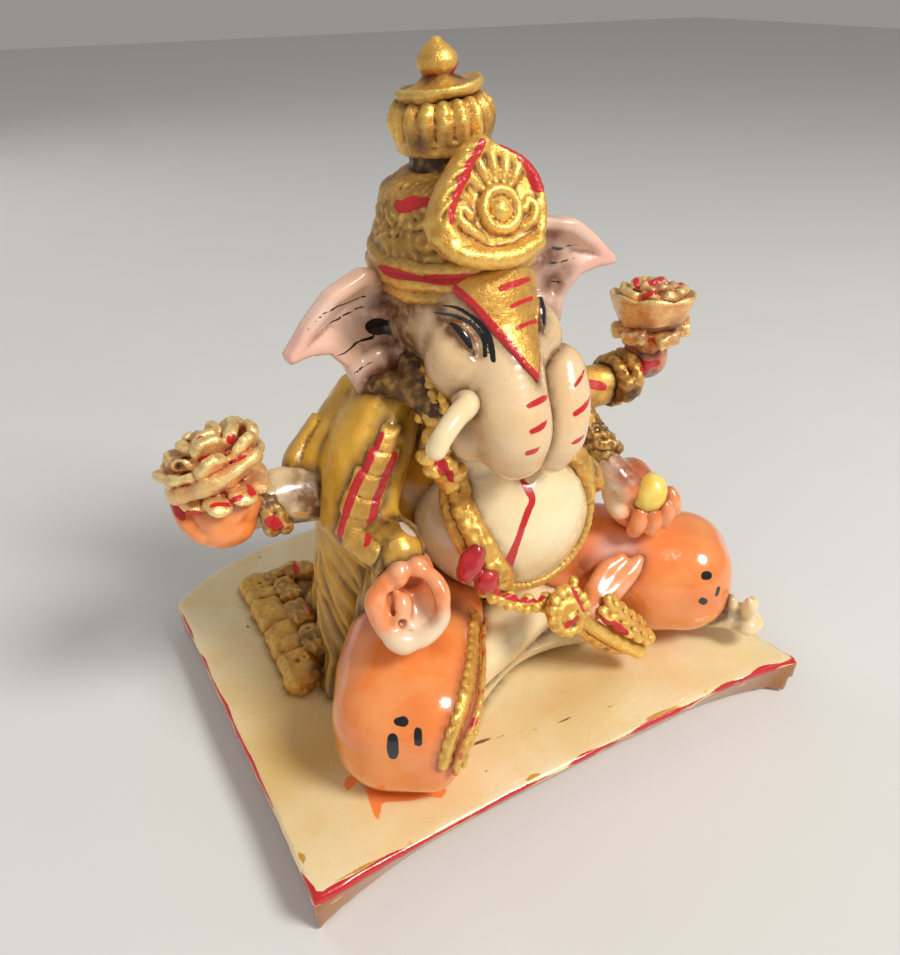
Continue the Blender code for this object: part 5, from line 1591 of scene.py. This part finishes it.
def garlands(belly):
    """The beaded bands laid round the belly, with the jewel between them."""
    foil, lumps = granules(0.9, 101), granules(1.5, 103)
    broad = skin_path(belly, [(-8.0, -11.4, 47.6, 1.3), (-7.8, -13.0, 44.6, 1.4), (-7.0, -14.6, 41.4, 1.5),
                              (-5.8, -16.0, 38.2, 1.5), (-4.4, -17.0, 34.8, 1.4), (-3.6, -17.2, 32.2, 1.0)],
                      lift=0.3)
    narrow = skin_path(belly, [(-9.8, -9.6, 47.0, 0.8), (-9.6, -10.8, 44.4, 0.9), (-8.8, -12.4, 41.4, 0.9),
                               (-7.8, -14.2, 37.8, 0.9), (-6.2, -15.6, 34.2, 0.8)], lift=0.5)
    twist = join(0.2, relief(bar(broad, 1), lumps, 0.2), plait(broad, 1.5, 2.2), bar(narrow, 1))
    neck_end = bar([(-9.6, -11.4, 52.0, 1.3), (-9.2, -11.6, 49.6, 1.4), (-8.4, -11.8, 47.4, 1.4)], 4)
    knots = join(0.2, *(egg((x, y, z), (1.5, 1.3, 1.1), (20, turn, 0)) for x, y, z, turn in
                        ((-9.6, -11.0, 57.6, 20), (-10.4, -12.0, 55.6, -30), (-9.2, -12.4, 54.0, 30),
                         (-11.4, -12.0, 53.0, 0), (-9.0, -13.0, 51.6, 40), (-10.8, -12.4, 51.0, 20),
                         (-8.0, -13.2, 50.0, -20))))
    band = relief(relief(join(0.3, twist, neck_end, knots), lumps, 0.16), foil, 0.14)
    plan("garland_right", band, STEP_FINE, "gold_paint", GOLD_FOIL,
         {"red": on_skin(band, [(-10.6, -13.6, 52.6, 0.8), (-9.8, -13.8, 50.8, 0.8),
                                (-9.0, -13.8, 49.2, 0.4)]), "stain_and_shade": shade_beside_band(narrow)}, wash_and_shade=0.3)
    rim = skin_path(belly, [(-5.0, -16.2, 32.4, 1), (-2.4, -16.6, 29.9, 1), (1.5, -17.0, 28.2, 1),
                            (5.6, -16.8, 28.0, 1), (9.4, -15.8, 30.2, 1), (12.0, -14.8, 34.0, 1),
                            (12.9, -14.2, 38.0, 1), (11.8, -14.4, 41.4, 1)], lift=0.2)
    rope = [(-7.0, -17.8, 32.4, 1), (-4.4, -18.8, 30.0, 1), (-1.2, -19.6, 28.2, 1), (2.4, -19.8, 27.2, 1),
            (5.6, -19.2, 26.8, 1), (7.6, -18.4, 27.0, 1)]
    side = bar([(12.6, -14.4, 38.6, 1.0), (12.4, -13.6, 43.0, 1.5), (9.8, -12.8, 47.2, 1.6),
                (6.8, -13.0, 49.4, 1.2)], 5)
    beaded = join(0.2, beads(rope, 1.0, 0.8, 2, 0.7), beads(rim, 0.95, 0.75), relief(side, lumps, 0.5))
    plan("garland_left", relief(beaded, foil, 0.10), STEP_FINE, "gold_paint", GOLD_FOIL,
         {"red": bar([(-6.4, -18.6, 32.6, 0.5), (-3.6, -19.4, 30.4, 0.5), (-0.6, -19.8, 28.8, 0.42),
                      (3.0, -19.6, 28.0, 0.4)])}, wash_and_shade=0.5)
    jewel = join(0.5, egg((-9.0, -17.2, 37.6), (1.8, 1.5, 3.0), (0, 30, 0)),
                 egg((-7.2, -18.2, 34.4), (1.7, 1.4, 2.0), (0, 28, 0)))
    plan("garland_jewel", relief(jewel, lumps, 0.2), STEP_FINE, "red_paint", RED_GLOSS, wash_and_shade=0.5)


def shade_beside_band(path):
    """Painted shade along the left edge of a band, in soft brown spots against the next strand."""
    return soft_spots(*((tuple(spot[:3] + (0.5, 0.3, 0.2)), 0.5, 0.9) for spot in path[::2]))


def ornaments():
    """The bead net at the neck, the belt's medallion, the garland's fold and the sash."""
    foil = granules(0.9, 101)
    rng = np.random.default_rng(107)
    chain = []
    left = np.array([(-9.0, -6.0, 63.0), (-10.8, -9.6, 57.4)])
    right = np.array([(-8.3, -11.4, 62.4), (-8.6, -13.4, 57.0)])
    for row in np.arange(7) / 6:
        start, end = (side[0] * (1 - row) + side[1] * row for side in (left, right))
        for column in np.arange(4) / 3:
            chain.append(start * (1 - column) + end * column + rng.uniform(-0.22, 0.22, 3))
    backing = bar([(-8.6, -4.6, 62.4, 2.0), (-8.6, -7.6, 60.2, 2.6), (-8.6, -10.0, 58.0, 2.4)], 4)
    collar = bar([(-13.4, -3.2, 60.4, 1.4), (-11.4, -6.0, 60.6, 1.6), (-10.2, -9.0, 59.0, 1.2)], 4)
    chained = dots(chain, 0.62, 0.1)
    # Painted shade: the whole backing is darkened brown between and behind the beads
    plan("neck_beads", relief(join(0.1, join(0.6, backing, collar), chained), granules(0.8, 108), 0.14),
         STEP_FINE, "aged_gold_paint", AGED_GOLD,
         {"gold": Form(lambda points: chained(points) - 0.10 - 0.12 * foil(points), chained.low,
                       chained.high), "stain_and_shade": everywhere(0.9)})
    place = ((3.4, -22.4, 26.6), (-20, 0, 0))
    medal = join(0.3, egg((0, 0.4, 0), (3.4, 1.5, 3.8)),
                 ring((-0.3, -0.7, -0.6), (2.0, 2.2), 0.5, (90, 0, 0)),
                 egg((-0.2, -0.9, -0.6), (0.9, 0.6, 0.9)),
                 *(egg((2.9 * math.cos(a), -0.4, 3.2 * math.sin(a)), (0.7, 0.6, 0.7))
                   for a in np.arange(14) * math.tau / 14))
    medal = relief(medal, foil, 0.2)
    plan("belt_medallion", placed(medal, *place), STEP_FINE, "gold_paint", GOLD_FOIL,
         {"red": placed(strokes([(1.0, -1.6, 3.8, 0.45), (1.5, -1.6, 1.4, 0.42), (1.9, -1.4, -0.4, 0.3)],
                                [(-1.2, -1.6, -1.4, 0.6), (0.4, -1.6, -1.0, 0.6)], flat=(1, 0.4, 1)),
                        *place)}, wash_and_shade=0.6)
    fold = join(0.3, egg((15.0, -12.6, 40.4), (1.4, 1.6, 3.6), (0, -20, 0)),
                egg((13.8, -13.2, 42.0), (1.0, 1.2, 2.6), (0, -30, 0)),
                egg((12.6, -13.6, 43.6), (0.9, 1.0, 2.2), (0, -36, 0)))
    fold = relief(fold, foil, 0.25)
    plan("garland_fold", fold, STEP_FINE, "gold_paint", GOLD_FOIL,
         {"red": on_skin(fold, [(16.6, -13.0, 43.0, 0.4), (16.9, -13.4, 40.6, 0.45),
                                (16.4, -13.6, 38.4, 0.3)])})
    sash = join(1.6, bar([(8.6, -19.4, 20.4, 1.2), (12.2, -18.0, 20.2, 2.1), (16.0, -17.2, 21.2, 2.2),
                          (19.6, -17.2, 23.0, 1.4), (21.2, -17.0, 24.2, 0.8)], 5),
                bar([(12.6, -16.6, 22.2, 1.2), (15.4, -15.6, 23.6, 1.3), (18.6, -15.6, 24.8, 0.9)], 4))
    plan("sash_fold", relief(sash, noise(2.6, 109), 0.15), STEP_RELIEF, "ivory_resin", PALE_ROSE, wash_and_shade=0.6)


# ---------------------------------------------------------------------------------------------------
# The studio
# ---------------------------------------------------------------------------------------------------

CAMERA_TURN = math.radians(-29.515)
CAMERA_RISE = math.radians(31.36)
CAMERA_ROLL = math.radians(-0.579)
CAMERA_PLACE = Vector((-0.05798732, -0.09498848, 0.10599746))
CAMERA_LENS = 31.744
CAMERA_SENSOR = 36.0
CAMERA_NEAREST = 0.001
FLOOR_SIZE = 3.0
FLOOR_DROP = 0.0002
FLOOR_PAINTS = ((0.760, 0.755, 0.745), (0.770, 0.765, 0.755))
WORLD_COLOUR = (1.0, 0.98, 0.95)
WORLD_STRENGTH = 0.30

LIGHT_AIM = Vector((0.0, -0.005, 0.045))
# Name, place, size, power, colour, and whether it shows in glossy paint
LIGHTS = (
    ("key", (0.20, -0.40, 0.50), 0.20, 3.3, (1.0, 0.97, 0.91), True),
    ("fill", (-0.55, -0.30, 0.30), 0.45, 0.65, (1.0, 0.98, 0.96), False),
    ("rim", (-0.25, 0.50, 0.30), 0.30, 0.6, (1.0, 1.0, 1.0), False),
)


def camera():
    """Looks down on the figure from its right."""
    lens = bpy.data.cameras.new("camera")
    lens.lens = CAMERA_LENS
    lens.sensor_width = CAMERA_SENSOR
    lens.clip_start = CAMERA_NEAREST
    backward = Vector((
        math.sin(CAMERA_TURN) * math.cos(CAMERA_RISE),
        -math.cos(CAMERA_TURN) * math.cos(CAMERA_RISE),
        math.sin(CAMERA_RISE),
    ))
    level = Vector((math.cos(CAMERA_TURN), math.sin(CAMERA_TURN), 0.0))
    right = level * math.cos(CAMERA_ROLL) + backward.cross(level) * math.sin(CAMERA_ROLL)
    up = backward.cross(right)
    pose = Matrix((right, up, backward)).transposed().to_4x4()
    pose.translation = CAMERA_PLACE
    eye = add_object("camera", lens)
    eye.matrix_world = pose
    bpy.context.scene.camera = eye


def soft_light(name, place, size, power, colour, glossy):
    """A round lamp aimed at the figure's middle."""
    lamp = bpy.data.lights.new(name, "AREA")
    lamp.shape = "DISK"
    lamp.size = size
    lamp.energy = power
    lamp.color = colour
    holder = add_object(name, lamp)
    holder.location = place
    holder.rotation_euler = (LIGHT_AIM - Vector(place)).to_track_quat("-Z", "Y").to_euler()
    holder.visible_glossy = glossy


def studio():
    """A pale floor, three soft lights and an even sky."""
    mesh = bpy.data.meshes.new("floor")
    half = FLOOR_SIZE / 2
    mesh.from_pydata([(-half, -half, 0), (half, -half, 0), (half, half, 0), (-half, half, 0)], [],
                     [(0, 1, 2, 3)])
    floor = add_object("floor", mesh)
    floor.location.z = -FLOOR_DROP
    g = Graph("floor_look")
    tone = g.ramp(g.noise(40.0, 2.0), 0.3, 0.7)
    g.set(g.shader.inputs["Base Color"], g.mix(tone, *FLOOR_PAINTS))
    g.shader.inputs["Roughness"].default_value = 0.8
    mesh.materials.append(g.material)
    for light in LIGHTS:
        soft_light(*light)
    world = bpy.data.worlds.new("world")
    world.use_nodes = True
    background = world.node_tree.nodes["Background"]
    background.inputs["Color"].default_value = (*WORLD_COLOUR, 1.0)
    background.inputs["Strength"].default_value = WORLD_STRENGTH
    bpy.context.scene.world = world
    bpy.context.scene.view_settings.view_transform = "Standard"


# ---------------------------------------------------------------------------------------------------
# Everything together
# ---------------------------------------------------------------------------------------------------

slab_form, slab_marks = slab()
# Where the figure stands on it, the slab darkens: painted contact shade with the brown of washes
plan("base_slab", slab_form, STEP_BROAD, "ivory_resin", IVORY_RESIN, slab_marks, leaned=False)
legs()
body()
head()
crown()
arms()
lotuses()
ornaments()

for entry in PLANS:
    cast(*entry)
camera()
studio()
